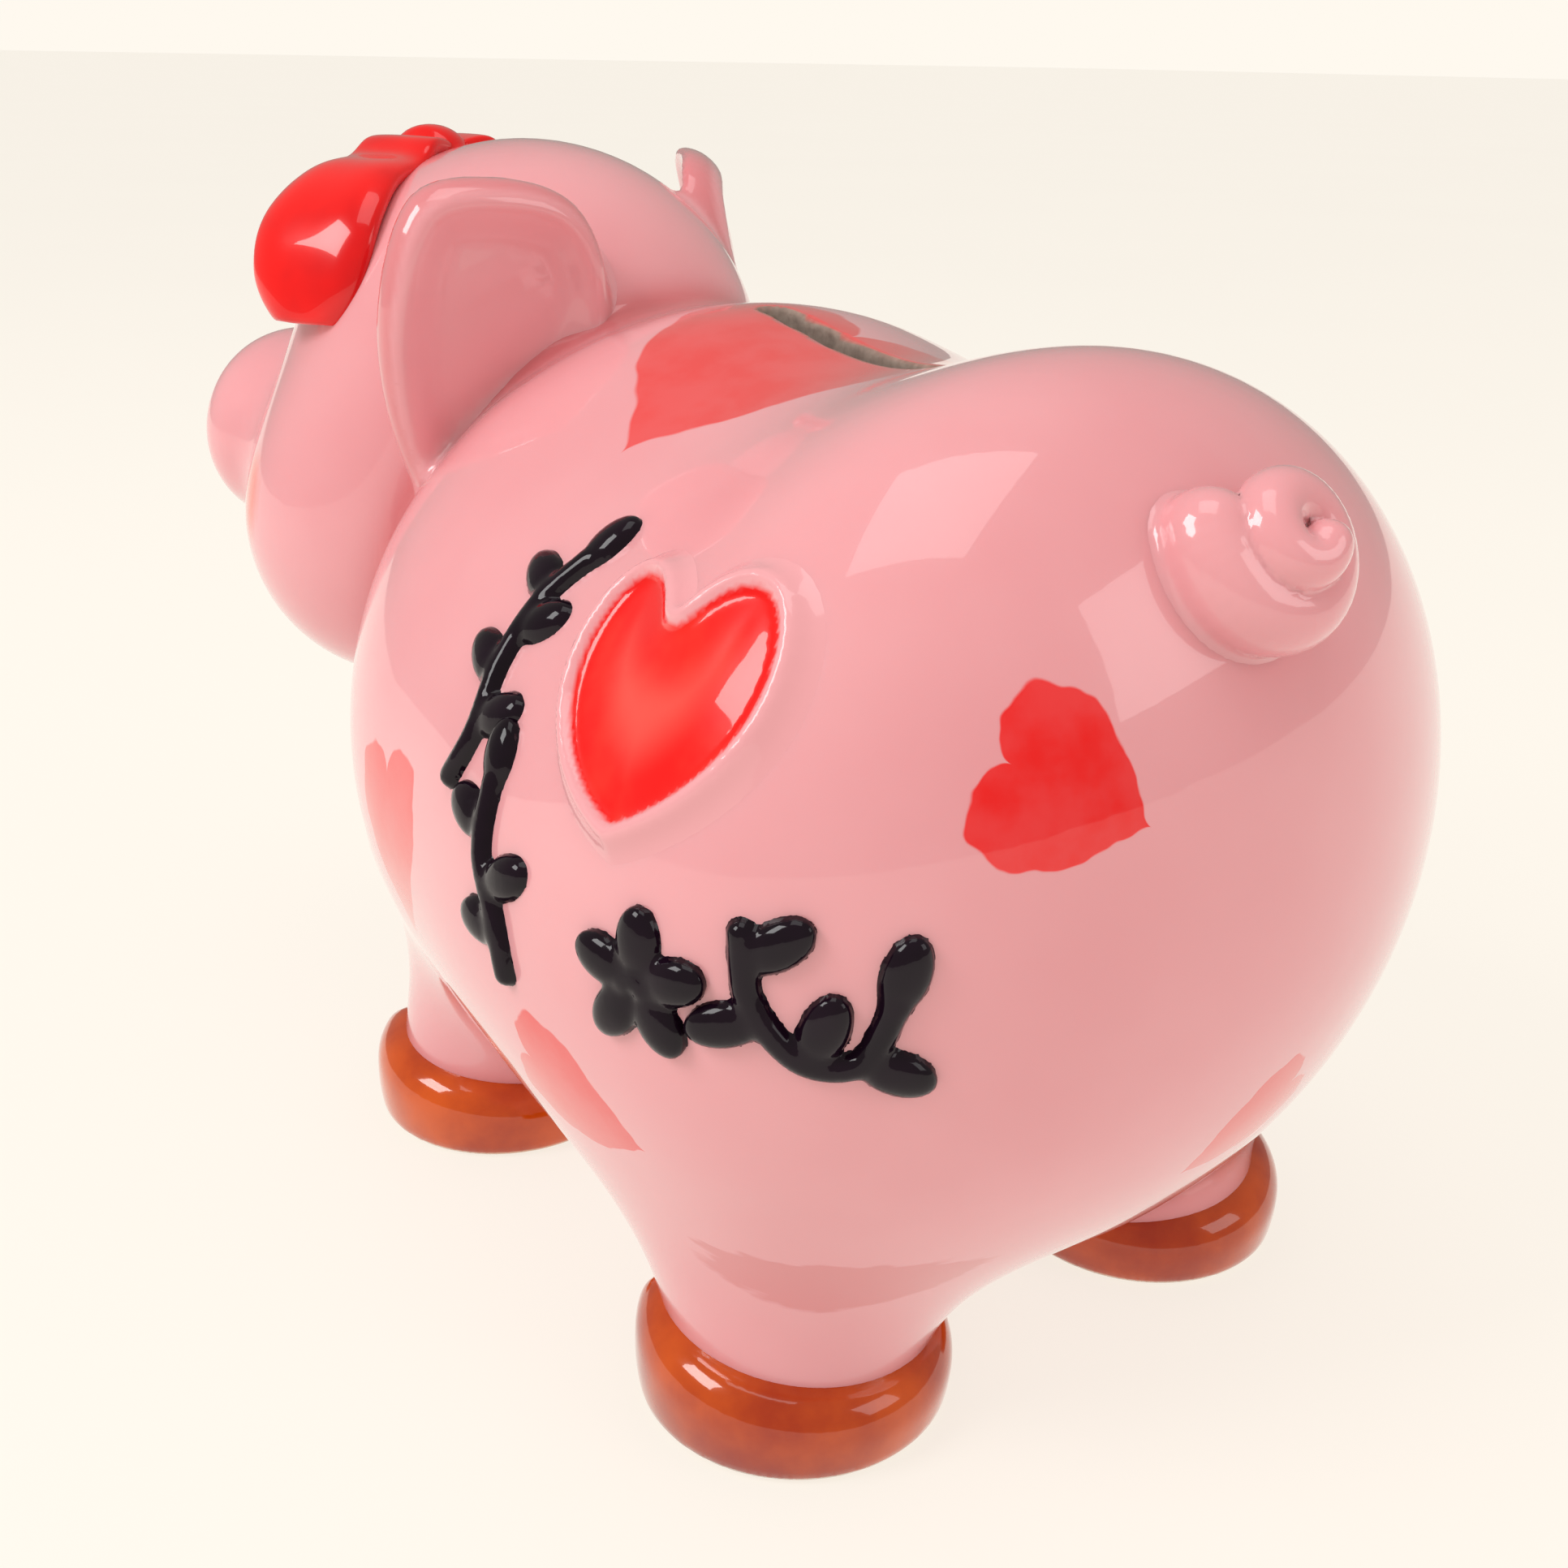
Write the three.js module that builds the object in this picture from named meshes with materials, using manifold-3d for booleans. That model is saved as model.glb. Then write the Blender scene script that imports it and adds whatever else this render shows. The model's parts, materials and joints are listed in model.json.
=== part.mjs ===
// Ceramic pig coin bank: a hollow slip-cast body with its head turned to its left, luted-on ears, tail,
// snout and bow, a sprigged heart, slip-trailed vines, four glazed hooves and a rubber stopper.
// Millimetres, +Z up, the pig faces -Y and its own left is +X. It stands on z = 0.
import * as THREE from "three";
import { mergeVertices } from "three/addons/utils/BufferGeometryUtils.js";
import { LoftGeometry } from "three/addons/geometries/LoftGeometry.js";
import Module from "manifold-3d";

const wasm = await Module();
wasm.setup();

// ---------------------------------------------------------------- driving dimensions, mm and degrees
const GAP = 0.3; // between two touching pieces
const WALL = 4; // thickness of the cast wall

const BODY_LENGTH = 140; // breast to rump
const BELLY_CLEARANCE = 17.3; // ground to the underside of the rump
const RUMP = { width: 118, depth: 72, height: 110 };
const SHOULDER = { width: 118, depth: 90, height: 108 };
const WAIST = { width: 119, depth: 92, height: 83.5, rise: 3, fromRump: 62.5 };
const RUMP_BLEND = 30;
const WAIST_BLEND = 25;

const NECK_SETBACK = 15.2; // breast to the neck axis that the head is turned about
const HEAD_TURN = 27; // degrees, to the pig's left
const HEAD_HEIGHT_ABOVE_GROUND = 111.2;
const SKULL = { width: 69.3, length: 70, height: 66.2, forward: 19.2 };
const JOWL = { radius: 24.1, spread: 15.4, drop: 21.9, forward: 13.5, blend: 14 };
const MUZZLE = { radius: 18.5, stretch: 1.15, drop: 24.1, forward: 28, blend: 12 };
const SNOUT = { width: 38, height: 32, edge: 5, drop: 13.5, proud: 12, sunk: 10, taper: 0.92 };
const NOSTRIL = { width: 5, height: 8, spread: 7.5, depth: 4 };

const LEG = { footRadius: 15.8, topRadius: 19.4, top: 42, leanIn: 4.6, leanToMiddle: 7.2 };
const LEG_DOME = [[12, 1], [4, 0.86], [0, 0.5]]; // [mm below the leg's top, share of its radius]
const REAR_TRACK = 62.8;
const FRONT_TRACK = 58.4;
const REAR_FOOT_SETBACK = 41.4; // rump to the rear foot's centre
const FRONT_FOOT_SETBACK = 18.3; // breast to the front foot's centre
const HOOF = { radius: 20.2, heel: 10, toe: 14.5, edge: 4.5, floor: 4, cleft: 3.2, cleftDepth: 4.5 };
const TOE_OUT = 35; // degrees between straight ahead and a hoof's toe

const EAR = { length: 45, width: 31, thickness: 6.5, dish: 2.6, rim: 5.5, edge: 1.6, bevelShare: 0.3 };
const EAR_PLACE = { seat: [0.89, 0.42, 0.17], out: [0.56, 0.81, -0.18], up: [-0.07, 0.26, 0.97] }; // directions
const EYE = { width: 6, height: 8.5, proud: 0.8, spread: 11, rise: 9 };
const BOW = { band: 2.6, depth: 20, waist: 10, forward: 17, knotWidth: 11, knotDepth: 12, knotHeight: 9 };
// The ribbon over the crown: [degrees from the top, mm above the head].
const BOW_ARCH = [[2, 2.9], [12, 4.4], [21, 3.4], [34, 5.6], [50, 6.4], [64, 5], [75, 2.9]];
const TAIL = { coil: 7.2, root: 5, tip: 2.6, turns: 1.45, rise: 7, up: 63, seat: 1.2 };
const TAIL_WIND = { start: 155, inward: 0.72 }; // degrees at the root, share of the coil's radius lost

const SLOT = { length: 38, width: 5, fromRump: 74 }; // fromRump: rump to its middle
const STOPPER_HOLE = 26;
const STOPPER = { clearance: 0.3, flange: 34, flangeThick: 2.4, plug: 9, bore: 18, tab: 3 };
const SEAT_LIP = 5; // width of the boss around the stopper hole

const HEART = { width: 33, height: 31, rim: 3, rimProud: 1.6, dishProud: 0.6, pocket: 1.4, roll: 10 };
const HEART_AIM = [0.81, 0.36, 0.56]; // from the middle of the body
const TRAIL = { width: 3, proud: 1.3, leaf: 4.6, bud: 4.4, root: 0.45 };

const FINE = { across: 40, down: 26 }; // facets of the body
const HEAD_FINE = { across: 30, down: 20 };
const COARSE = { across: 24, down: 16 }; // facets of the inner faces
const ARC_STEPS = 3; // facets of a small rounded edge
const ROUND = { hoof: 22, snout: 24, leg: 18, trail: 3, bow: 18 }; // facets around each
const REACH = 160; // further than any surface is from the middle of its form
const PROBE = 0.4; // step of the slope of a form
const SEARCH_DEPTH = 24; // how far inside the body a search for its surface starts
const PRISM_REACH = 14; // how far an outline laid on the body is carried in and out
const CURVE_STEPS = 8; // facets of each curve of an outline laid on the body
const TINY = 1e-9; // keeps a division by zero away

// ---------------------------------------------------------------- glazes
const glaze = (color, roughness = 0.08) =>
  new THREE.MeshStandardMaterial({ color, roughness, metalness: 0 });
const PINK = glaze("#e9a3a8");
const RED = glaze("#dc1510");
const AMBER = glaze("#b04a16");
const BLACK = glaze("#120a14");
const RUBBER = glaze("#e6dfd2", 0.7);

// ---------------------------------------------------------------- solids
const rad = THREE.MathUtils.degToRad;
const vec = (x, y, z) => new THREE.Vector3(x, y, z);

// A closed three.js geometry as a solid that can be cut and joined.
function solid(geometry, matrix = new THREE.Matrix4()) {
  const bare = new THREE.BufferGeometry();
  const source = geometry.index ? geometry.toNonIndexed() : geometry.clone();
  bare.setAttribute("position", source.getAttribute("position"));
  bare.applyMatrix4(matrix);
  const merged = mergeVertices(bare, 1e-4);
  const triVerts = new Uint32Array(merged.index.array);
  if (matrix.determinant() < 0) triVerts.reverse();
  const vertProperties = merged.attributes.position.array;
  return new wasm.Manifold(new wasm.Mesh({ numProp: 3, vertProperties, triVerts }));
}

function node(name, shape, material) {
  const cut = shape.getMesh();
  const geometry = new THREE.BufferGeometry();
  geometry.setAttribute("position", new THREE.BufferAttribute(cut.vertProperties, 3));
  geometry.setIndex(new THREE.BufferAttribute(cut.triVerts, 1));
  geometry.computeVertexNormals();
  const mesh = new THREE.Mesh(geometry, material);
  mesh.name = name;
  return mesh;
}

const joined = (...solids) => solids.reduce((all, next) => all.add(next));

// ---------------------------------------------------------------- smooth forms as distance-like fields
function ellipsoid(centre, width, depth, height) {
  const radii = vec(width / 2, depth / 2, height / 2);
  return (p) => {
    const offset = p.clone().sub(centre).divide(radii);
    const size = offset.length();
    const slope = offset.divide(radii).length();
    return (size * (size - 1)) / (slope + TINY);
  };
}

// Two forms run together with a fillet of about `soft` mm.
function blended(a, b, soft) {
  return (p) => {
    const [da, db] = [a(p), b(p)];
    const share = THREE.MathUtils.clamp(0.5 + (0.5 * (db - da)) / soft, 0, 1);
    return THREE.MathUtils.lerp(db, da, share) - soft * share * (1 - share);
  };
}

// Where a line from inside a form leaves it, `out` mm beyond its surface.
function surface(form, from, direction, out = 0) {
  const step = direction.clone().normalize();
  let [near, far] = [0, REACH];
  for (let i = 0; i < 40; i += 1) {
    const middle = (near + far) / 2;
    if (form(from.clone().addScaledVector(step, middle)) < out) near = middle;
    else far = middle;
  }
  return from.clone().addScaledVector(step, near);
}

function outward(form, p) {
  const slope = (axis) => {
    const step = vec(0, 0, 0).setComponent(axis, PROBE);
    return form(p.clone().add(step)) - form(p.clone().sub(step));
  };
  return vec(slope(0), slope(1), slope(2)).normalize();
}

// A closed skin `out` mm beyond a form, drawn from a sphere around `centre`.
function skin(form, centre, { across, down }, out = 0) {
  const ball = new THREE.SphereGeometry(1, across, down);
  const points = ball.getAttribute("position");
  for (let i = 0; i < points.count; i += 1) {
    const direction = new THREE.Vector3().fromBufferAttribute(points, i);
    points.setXYZ(i, ...surface(form, centre, direction, out).toArray());
  }
  return solid(ball);
}

// ---------------------------------------------------------------- torso
const rumpEnd = BODY_LENGTH / 2;
const breastEnd = -BODY_LENGTH / 2;
const rump = ellipsoid(
  vec(0, rumpEnd - RUMP.depth / 2, BELLY_CLEARANCE + RUMP.height / 2),
  RUMP.width, RUMP.depth, RUMP.height);
const shoulder = ellipsoid(
  vec(0, breastEnd + SHOULDER.depth / 2, BELLY_CLEARANCE + SHOULDER.height / 2),
  SHOULDER.width, SHOULDER.depth, SHOULDER.height);
const torsoCentre = vec(0, rumpEnd - WAIST.fromRump, BELLY_CLEARANCE + WAIST.rise + WAIST.height / 2);
const waist = ellipsoid(torsoCentre, WAIST.width, WAIST.depth, WAIST.height);
const torso = blended(blended(rump, shoulder, RUMP_BLEND), waist, WAIST_BLEND);
const torsoSkin = (out, facets = FINE) => skin(torso, torsoCentre, facets, out);

// ---------------------------------------------------------------- head, in its own turned frame
const headPlace = new THREE.Matrix4()
  .makeTranslation(0, breastEnd + NECK_SETBACK, 0)
  .multiply(new THREE.Matrix4().makeRotationZ(rad(HEAD_TURN)));
const skullCentre = vec(0, -SKULL.forward, HEAD_HEIGHT_ABOVE_GROUND);
const skull = ellipsoid(skullCentre, SKULL.width, SKULL.length, SKULL.height);
const jowlCentre = skullCentre.clone().add(vec(JOWL.spread, -JOWL.forward, -JOWL.drop));
const jowls = (p) => vec(Math.abs(p.x), p.y, p.z).distanceTo(jowlCentre) - JOWL.radius;
const muzzleCentre = skullCentre.clone().add(vec(0, -MUZZLE.forward, -MUZZLE.drop));
const muzzleWidth = 2 * MUZZLE.radius;
const muzzle = ellipsoid(muzzleCentre, muzzleWidth * MUZZLE.stretch, muzzleWidth, muzzleWidth);
const head = blended(blended(skull, jowls, JOWL.blend), muzzle, MUZZLE.blend);
const headSkin = (out, facets = HEAD_FINE) =>
  skin(head, skullCentre, facets, out).transform(headPlace.toArray());

const torsoClear = torsoSkin(GAP);
const headClear = headSkin(GAP);

// ---------------------------------------------------------------- legs and hooves
const feet = [
  { name: "rear_left", side: 1, track: REAR_TRACK, y: rumpEnd - REAR_FOOT_SETBACK, lean: -1 },
  { name: "rear_right", side: -1, track: REAR_TRACK, y: rumpEnd - REAR_FOOT_SETBACK, lean: -1 },
  { name: "front_left", side: 1, track: FRONT_TRACK, y: breastEnd + FRONT_FOOT_SETBACK, lean: 1 },
  { name: "front_right", side: -1, track: FRONT_TRACK, y: breastEnd + FRONT_FOOT_SETBACK, lean: 1 },
];

// A leaning cone from inside the hoof up into the belly, `out` mm bigger all over.
function leg(foot, out) {
  const bottom = HOOF.floor + GAP - out;
  const top = LEG.top + Math.min(out, 0);
  const dome = LEG_DOME.map(([below, share]) => [top - below, share]);
  const rings = [[bottom, 1], [HOOF.toe, 1], ...dome];
  const sections = rings.map(([z, narrowing]) => {
    const share = Math.max((z - HOOF.heel) / (LEG.top - HOOF.heel), 0);
    const radius = THREE.MathUtils.lerp(LEG.footRadius, LEG.topRadius, share) * narrowing + out;
    const x = foot.side * (foot.track / 2 - share * LEG.leanIn);
    const y = foot.y + foot.lean * share * LEG.leanToMiddle;
    return Array.from({ length: ROUND.leg }, (_, i) => {
      const angle = (2 * Math.PI * i) / ROUND.leg;
      return vec(x + radius * Math.cos(angle), y + radius * Math.sin(angle), z);
    });
  });
  return solid(new LoftGeometry(sections, { capStart: true, capEnd: true }));
}

// A rounded foot, higher at the toe, with a cleft toe and a pocket for its leg.
function hoof(foot) {
  const { radius, heel, toe, edge, cleft, cleftDepth } = HOOF;
  const profile = new THREE.Path()
    .moveTo(0, 0)
    .lineTo(radius - edge, 0)
    .absarc(radius - edge, edge, edge, -Math.PI / 2, 0, false)
    .lineTo(radius, toe - edge)
    .absarc(radius - edge, toe - edge, edge, 0, Math.PI / 2, false)
    .lineTo(0, toe);
  const place = new THREE.Matrix4()
    .makeTranslation(foot.side * (foot.track / 2), foot.y, 0)
    .multiply(new THREE.Matrix4().makeRotationZ(foot.side * rad(TOE_OUT)));
  const block = new THREE.LatheGeometry(profile.getPoints(ARC_STEPS), ROUND.hoof).rotateX(Math.PI / 2);
  const slope = Math.atan2(toe - heel, 2 * radius);
  const above = new THREE.BoxGeometry(4 * radius, 4 * radius, toe)
    .translate(0, 0, toe / 2)
    .rotateX(-slope)
    .translate(0, 0, (toe + heel) / 2);
  const notch = new THREE.CylinderGeometry(cleft / 2, cleft / 2, 3 * toe, 8)
    .scale(1, 1, (2 * cleftDepth) / cleft)
    .rotateX(Math.PI / 2)
    .translate(0, -radius, toe / 2);
  return solid(block, place)
    .subtract(solid(above, place))
    .subtract(solid(notch, place))
    .subtract(leg(foot, GAP));
}

// ---------------------------------------------------------------- flat outlines laid on the body
// The frame at a point of the torso: x to the viewer's right, y up the body, z out of it.
function seatOn(form, point, roll = 0) {
  const z = outward(form, point);
  const x = vec(0, 0, 1).cross(z).normalize();
  const y = z.clone().cross(x);
  return new THREE.Matrix4()
    .makeBasis(x, y, z)
    .setPosition(point)
    .multiply(new THREE.Matrix4().makeRotationZ(roll));
}

function prism(shape, place, reach = PRISM_REACH) {
  const settings = { depth: 2 * reach, bevelEnabled: false, curveSegments: CURVE_STEPS };
  const block = new THREE.ExtrudeGeometry(shape, settings);
  return solid(block.translate(0, 0, -reach), place);
}

function heartShape(width, height) {
  const [w, top, tip] = [width / 2, height * 0.42, -height * 0.58];
  return new THREE.Shape()
    .moveTo(0, tip)
    .bezierCurveTo(w * 0.5, tip * 0.62, w, tip * 0.35, w, top * 0.3)
    .bezierCurveTo(w, top * 1.25, w * 0.25, top * 1.3, 0, top * 0.55)
    .bezierCurveTo(-w * 0.25, top * 1.3, -w, top * 1.25, -w, top * 0.3)
    .bezierCurveTo(-w, tip * 0.35, -w * 0.5, tip * 0.62, 0, tip);
}

// ---------------------------------------------------------------- sprigged heart on the left side
const heartSeat = seatOn(torso, surface(torso, torsoCentre, vec(...HEART_AIM)), rad(HEART.roll));
const heartOutline = heartShape(HEART.width, HEART.height).getPoints(CURVE_STEPS).map((p) => p.toArray());

// The heart's outline grown by `grow` mm all round, carried in and out of the body.
function heartPrism(grow) {
  const outline = new wasm.CrossSection([heartOutline]).offset(grow, "Miter");
  return wasm.Manifold.extrude(outline, HEART.width)
    .translate(0, 0, -HEART.width / 2)
    .transform(heartSeat.toArray());
}
const heartPocket = heartPrism(GAP).subtract(torsoSkin(-HEART.pocket));
const heartDish = heartPrism(-HEART.rim).subtract(torsoSkin(HEART.dishProud));
const heart = heartPrism(0)
  .intersect(torsoSkin(HEART.rimProud))
  .subtract(torsoSkin(GAP - HEART.pocket))
  .subtract(heartDish);

// ---------------------------------------------------------------- slip-trailed vines
// A stem drawn through points on the body, as a half-round bead, with leaves along it.
function vine(anchor, points, leaves) {
  const seat = seatOn(torso, surface(torso, torsoCentre, anchor));
  const out = vec(0, 0, 1).transformDirection(seat);
  const on = (x, y) => {
    const above = vec(x, y, 0).applyMatrix4(seat);
    return surface(torso, above.clone().addScaledVector(out, -SEARCH_DEPTH), out);
  };
  const bead = TRAIL.width / 2;
  const stem = new THREE.CatmullRomCurve3(points.map(([x, y]) => on(x, y)));
  const section = new THREE.Shape().absarc(0, 0, bead, 0, 2 * Math.PI, false);
  const settings = { extrudePath: stem, steps: 3 * points.length, curveSegments: ROUND.trail };
  const tube = new THREE.ExtrudeGeometry(section, settings);
  const parts = [solid(tube)];
  leaves.forEach(([x, y, turn, length, width]) => {
    const place = seatOn(torso, on(x, y), rad(turn));
    const drop = new THREE.SphereGeometry(1, 8, 6).scale(length / 2, width / 2, TRAIL.proud + GAP);
    parts.push(solid(drop.translate(length * TRAIL.root, 0, 0), place));
  });
  return joined(...parts).subtract(torsoClear);
}

// Each vine: name, direction of its middle, points of its stem, then its bud and leaves as [x, y, turn].
const bud = (x, y, turn) => [x, y, turn, 6, TRAIL.bud];
const leaf = (x, y, turn) => [x, y, turn, 8, TRAIL.leaf];
const petal = (turn) => [Math.cos(rad(turn)), Math.sin(rad(turn)), turn, 7.5, 5];
const vines = [
  ["vine_upper", vec(0.93, -0.06, 0.52), [[1, 14], [-1.5, 8], [-2, 0], [-1, -8], [-3, -14]],
    [bud(1, 14, 70), leaf(-1, 9, 150), leaf(-2, 4, 35), leaf(-2, -2, 150), leaf(-1, -7, 30)]],
  ["vine_lower_front", vec(0.96, 0.12, 0.15), [[-5, 10], [-4, 3], [0, -3], [2, -9]],
    [bud(-5, 10, 100), leaf(-5, 5, 160), leaf(-2, 0, 30), leaf(1, -5, 175)]],
  ["blossom", vec(0.88, 0.46, 0.12), [[-1, 0], [0, 0.5], [1, 0]],
    [90, 162, 234, 306, 378].map(petal)],
  ["vine_lower_rear", vec(0.73, 0.68, 0.12), [[-7, 8], [-6, 1], [-1, -5], [5, -5], [8, 1]],
    [bud(8, 1, 75), leaf(5, -5, -20), leaf(0, -5, 70), leaf(-5, -1, 195), leaf(-6.5, 5, 35)]],
];

// ---------------------------------------------------------------- stopper
const belly = surface(torso, torsoCentre, vec(0, 0, -1));
const flangeSeat = belly.z + STOPPER.flangeThick; // the flange lies flush with the belly
const holeCentre = new THREE.Matrix4().makeTranslation(belly.x, belly.y, 0);
function drum(radius, from, to, sides = 32) {
  const height = to - from;
  const tube = new THREE.CylinderGeometry(radius, radius, height, sides).rotateX(Math.PI / 2);
  return solid(tube.translate(0, 0, (from + to) / 2), holeCentre);
}
const bossTop = flangeSeat + WALL;
const boss = drum(STOPPER_HOLE / 2 + SEAT_LIP, flangeSeat, bossTop);
const stopperWay = joined(
  drum(STOPPER_HOLE / 2, 0, bossTop + WALL),
  drum(STOPPER.flange / 2 + GAP, 0, flangeSeat));

function stopper() {
  const { clearance, flange, flangeThick, plug, bore, tab } = STOPPER;
  const plugRadius = STOPPER_HOLE / 2 - clearance;
  const under = flangeSeat - GAP - flangeThick;
  const body = joined(
    drum(flange / 2, under, flangeSeat - GAP),
    drum(plugRadius, under, flangeSeat + plug));
  const bar = new THREE.BoxGeometry(bore + 2, tab, plug).translate(0, 0, under + tab / 2 + plug / 2);
  return body
    .subtract(drum(bore / 2, under - 1, flangeSeat + plug - tab))
    .add(solid(bar, holeCentre));
}

// ---------------------------------------------------------------- body shell
function slot() {
  const end = SLOT.width / 2;
  const straight = SLOT.length / 2 - end;
  const outline = new THREE.Shape()
    .absarc(0, straight, end, 0, Math.PI, false)
    .absarc(0, -straight, end, Math.PI, 2 * Math.PI, false)
    .closePath();
  const above = surface(torso, vec(0, rumpEnd - SLOT.fromRump, torsoCentre.z), vec(0, 0, 1), WALL);
  return prism(outline, new THREE.Matrix4().setPosition(above), 6 * WALL);
}

function bodyShell() {
  const outside = joined(torsoSkin(0), headSkin(0), ...feet.map((foot) => leg(foot, 0)));
  const inside = joined(
    torsoSkin(-WALL, COARSE),
    headSkin(-WALL, COARSE),
    ...feet.map((foot) => leg(foot, -WALL)));
  return outside
    .subtract(inside.subtract(boss))
    .subtract(slot())
    .subtract(stopperWay)
    .subtract(heartPocket);
}

// ---------------------------------------------------------------- face
function snout() {
  const { width, height, edge, drop, proud, sunk, taper } = SNOUT;
  const seat = surface(head, skullCentre.clone().add(vec(0, 0, -drop)), vec(0, -1, 0));
  const radius = height / 2;
  const profile = new THREE.Path()
    .moveTo(0, 0)
    .lineTo(radius - edge, 0)
    .absarc(radius - edge, edge, edge, -Math.PI / 2, 0, false)
    .lineTo(radius * taper, proud + sunk)
    .lineTo(0, proud + sunk);
  const disc = new THREE.LatheGeometry(profile.getPoints(ARC_STEPS), ROUND.snout).scale(width / height, 1, 1);
  const front = seat.y - proud;
  const nostrils = [-1, 1].map((side) => {
    const hole = new THREE.SphereGeometry(1, 8, 8)
      .scale(NOSTRIL.width / 2, NOSTRIL.depth, NOSTRIL.height / 2);
    return solid(hole.translate(side * NOSTRIL.spread, front, seat.z), headPlace);
  });
  return solid(disc.translate(0, front, seat.z), headPlace)
    .subtract(joined(...nostrils))
    .subtract(headClear);
}

function eye(side) {
  const aim = vec(side * EYE.spread, -SKULL.length / 2, EYE.rise);
  const place = headPlace.clone().multiply(seatOn(head, surface(head, skullCentre, aim)));
  const outline = new THREE.Shape().absellipse(0, 0, EYE.width / 2, EYE.height / 2, 0, 2 * Math.PI, false, 0);
  return prism(outline, place, 5).intersect(headSkin(EYE.proud)).subtract(headClear);
}

// A drooping leaf that lies back against the head, dished on its outer face.
function ear(side) {
  const { length, width, thickness, dish, rim, edge, bevelShare } = EAR;
  const [w, l] = [width / 2, length / 2];
  const leaf = (inset) => new THREE.Shape()
    .moveTo(-w * 0.1, inset - l)
    .bezierCurveTo(w * 0.55, inset - l * 0.75, w - inset, -l * 0.2, w - inset, l * 0.35)
    .bezierCurveTo(w - inset, l * 0.8, w * 0.6, l - inset, w * 0.3, l - inset)
    .bezierCurveTo(-w * 0.3, l - inset, inset - w, l * 0.95, inset - w, l * 0.4)
    .bezierCurveTo(inset - w, -l * 0.35, -w * 0.6, inset - l * 0.75, -w * 0.1, inset - l);
  const bevelDeep = thickness * bevelShare;
  const bevel = { bevelThickness: bevelDeep, bevelSize: edge, bevelOffset: -edge, bevelSegments: 2 };
  const flat = thickness - 2 * bevelDeep;
  const plate = new THREE.ExtrudeGeometry(leaf(0), { depth: flat, curveSegments: 7, ...bevel });
  const cutter = { depth: thickness, curveSegments: 7, bevelEnabled: false };
  const hollow = new THREE.ExtrudeGeometry(leaf(rim), cutter);
  const seat = surface(head, skullCentre, vec(...EAR_PLACE.seat), bevelDeep);
  const out = vec(...EAR_PLACE.out).normalize();
  const up = vec(...EAR_PLACE.up).projectOnPlane(out).normalize();
  const frame = new THREE.Matrix4().makeBasis(up.clone().cross(out), up, out).setPosition(seat);
  const mirror = new THREE.Matrix4().makeScale(side, 1, 1);
  const place = headPlace.clone().multiply(mirror).multiply(frame);
  return solid(plate, place)
    .subtract(solid(hollow.translate(0, 0, flat + bevelDeep - dish), place))
    .subtract(headClear)
    .subtract(torsoClear);
}

// ---------------------------------------------------------------- bow
// A loop of ribbon that arches over the crown from the knot to the side of the head, with one pleat.
const bowCentre = surface(head, skullCentre, vec(0, -BOW.forward, SKULL.height / 2));
function crown(degrees, above) {
  const from = vec(0, bowCentre.y, skullCentre.z);
  const direction = vec(Math.sin(rad(degrees)), 0, Math.cos(rad(degrees)));
  return surface(head, from, direction, above);
}
function bowLoop(side) {
  const inner = BOW_ARCH.map(([degrees, above]) => [degrees, above - BOW.band]).reverse();
  const bend = new THREE.CatmullRomCurve3(BOW_ARCH.map(([degrees, above]) => crown(degrees, above)));
  const back = new THREE.CatmullRomCurve3(inner.map(([degrees, above]) => crown(degrees, above)));
  const around = [...bend.getPoints(ROUND.bow), ...back.getPoints(ROUND.bow)];
  const outline = new THREE.Shape(around.map((p) => new THREE.Vector2(p.x, p.z)));
  const ribbon = new THREE.ExtrudeGeometry(outline, { depth: BOW.depth, bevelEnabled: false });
  ribbon.rotateX(Math.PI / 2).translate(0, bowCentre.y + BOW.depth / 2, 0);
  const far = SKULL.width;
  const flare = new THREE.Shape([
    new THREE.Vector2(0, bowCentre.y - BOW.waist / 2),
    new THREE.Vector2(far / 2, bowCentre.y - BOW.depth / 2),
    new THREE.Vector2(far, bowCentre.y - BOW.depth / 2),
    new THREE.Vector2(far, bowCentre.y + BOW.depth / 2),
    new THREE.Vector2(far / 2, bowCentre.y + BOW.depth / 2),
    new THREE.Vector2(0, bowCentre.y + BOW.waist / 2),
  ]);
  const tall = { depth: 2 * HEAD_HEIGHT_ABOVE_GROUND, bevelEnabled: false };
  const fan = new THREE.ExtrudeGeometry(flare, tall);
  const place = headPlace.clone().multiply(new THREE.Matrix4().makeScale(side, 1, 1));
  return solid(ribbon, place).intersect(solid(fan, place)).subtract(headClear).subtract(bowKnot(GAP));
}
function bowKnot(out) {
  const { knotWidth, knotDepth, knotHeight } = BOW;
  const ball = new THREE.SphereGeometry(1, 20, 14)
    .scale(knotWidth / 2 + out, knotDepth / 2 + out, knotHeight / 2 + out)
    .translate(bowCentre.x, bowCentre.y, bowCentre.z + knotHeight / 8);
  return solid(ball, headPlace);
}

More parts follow.
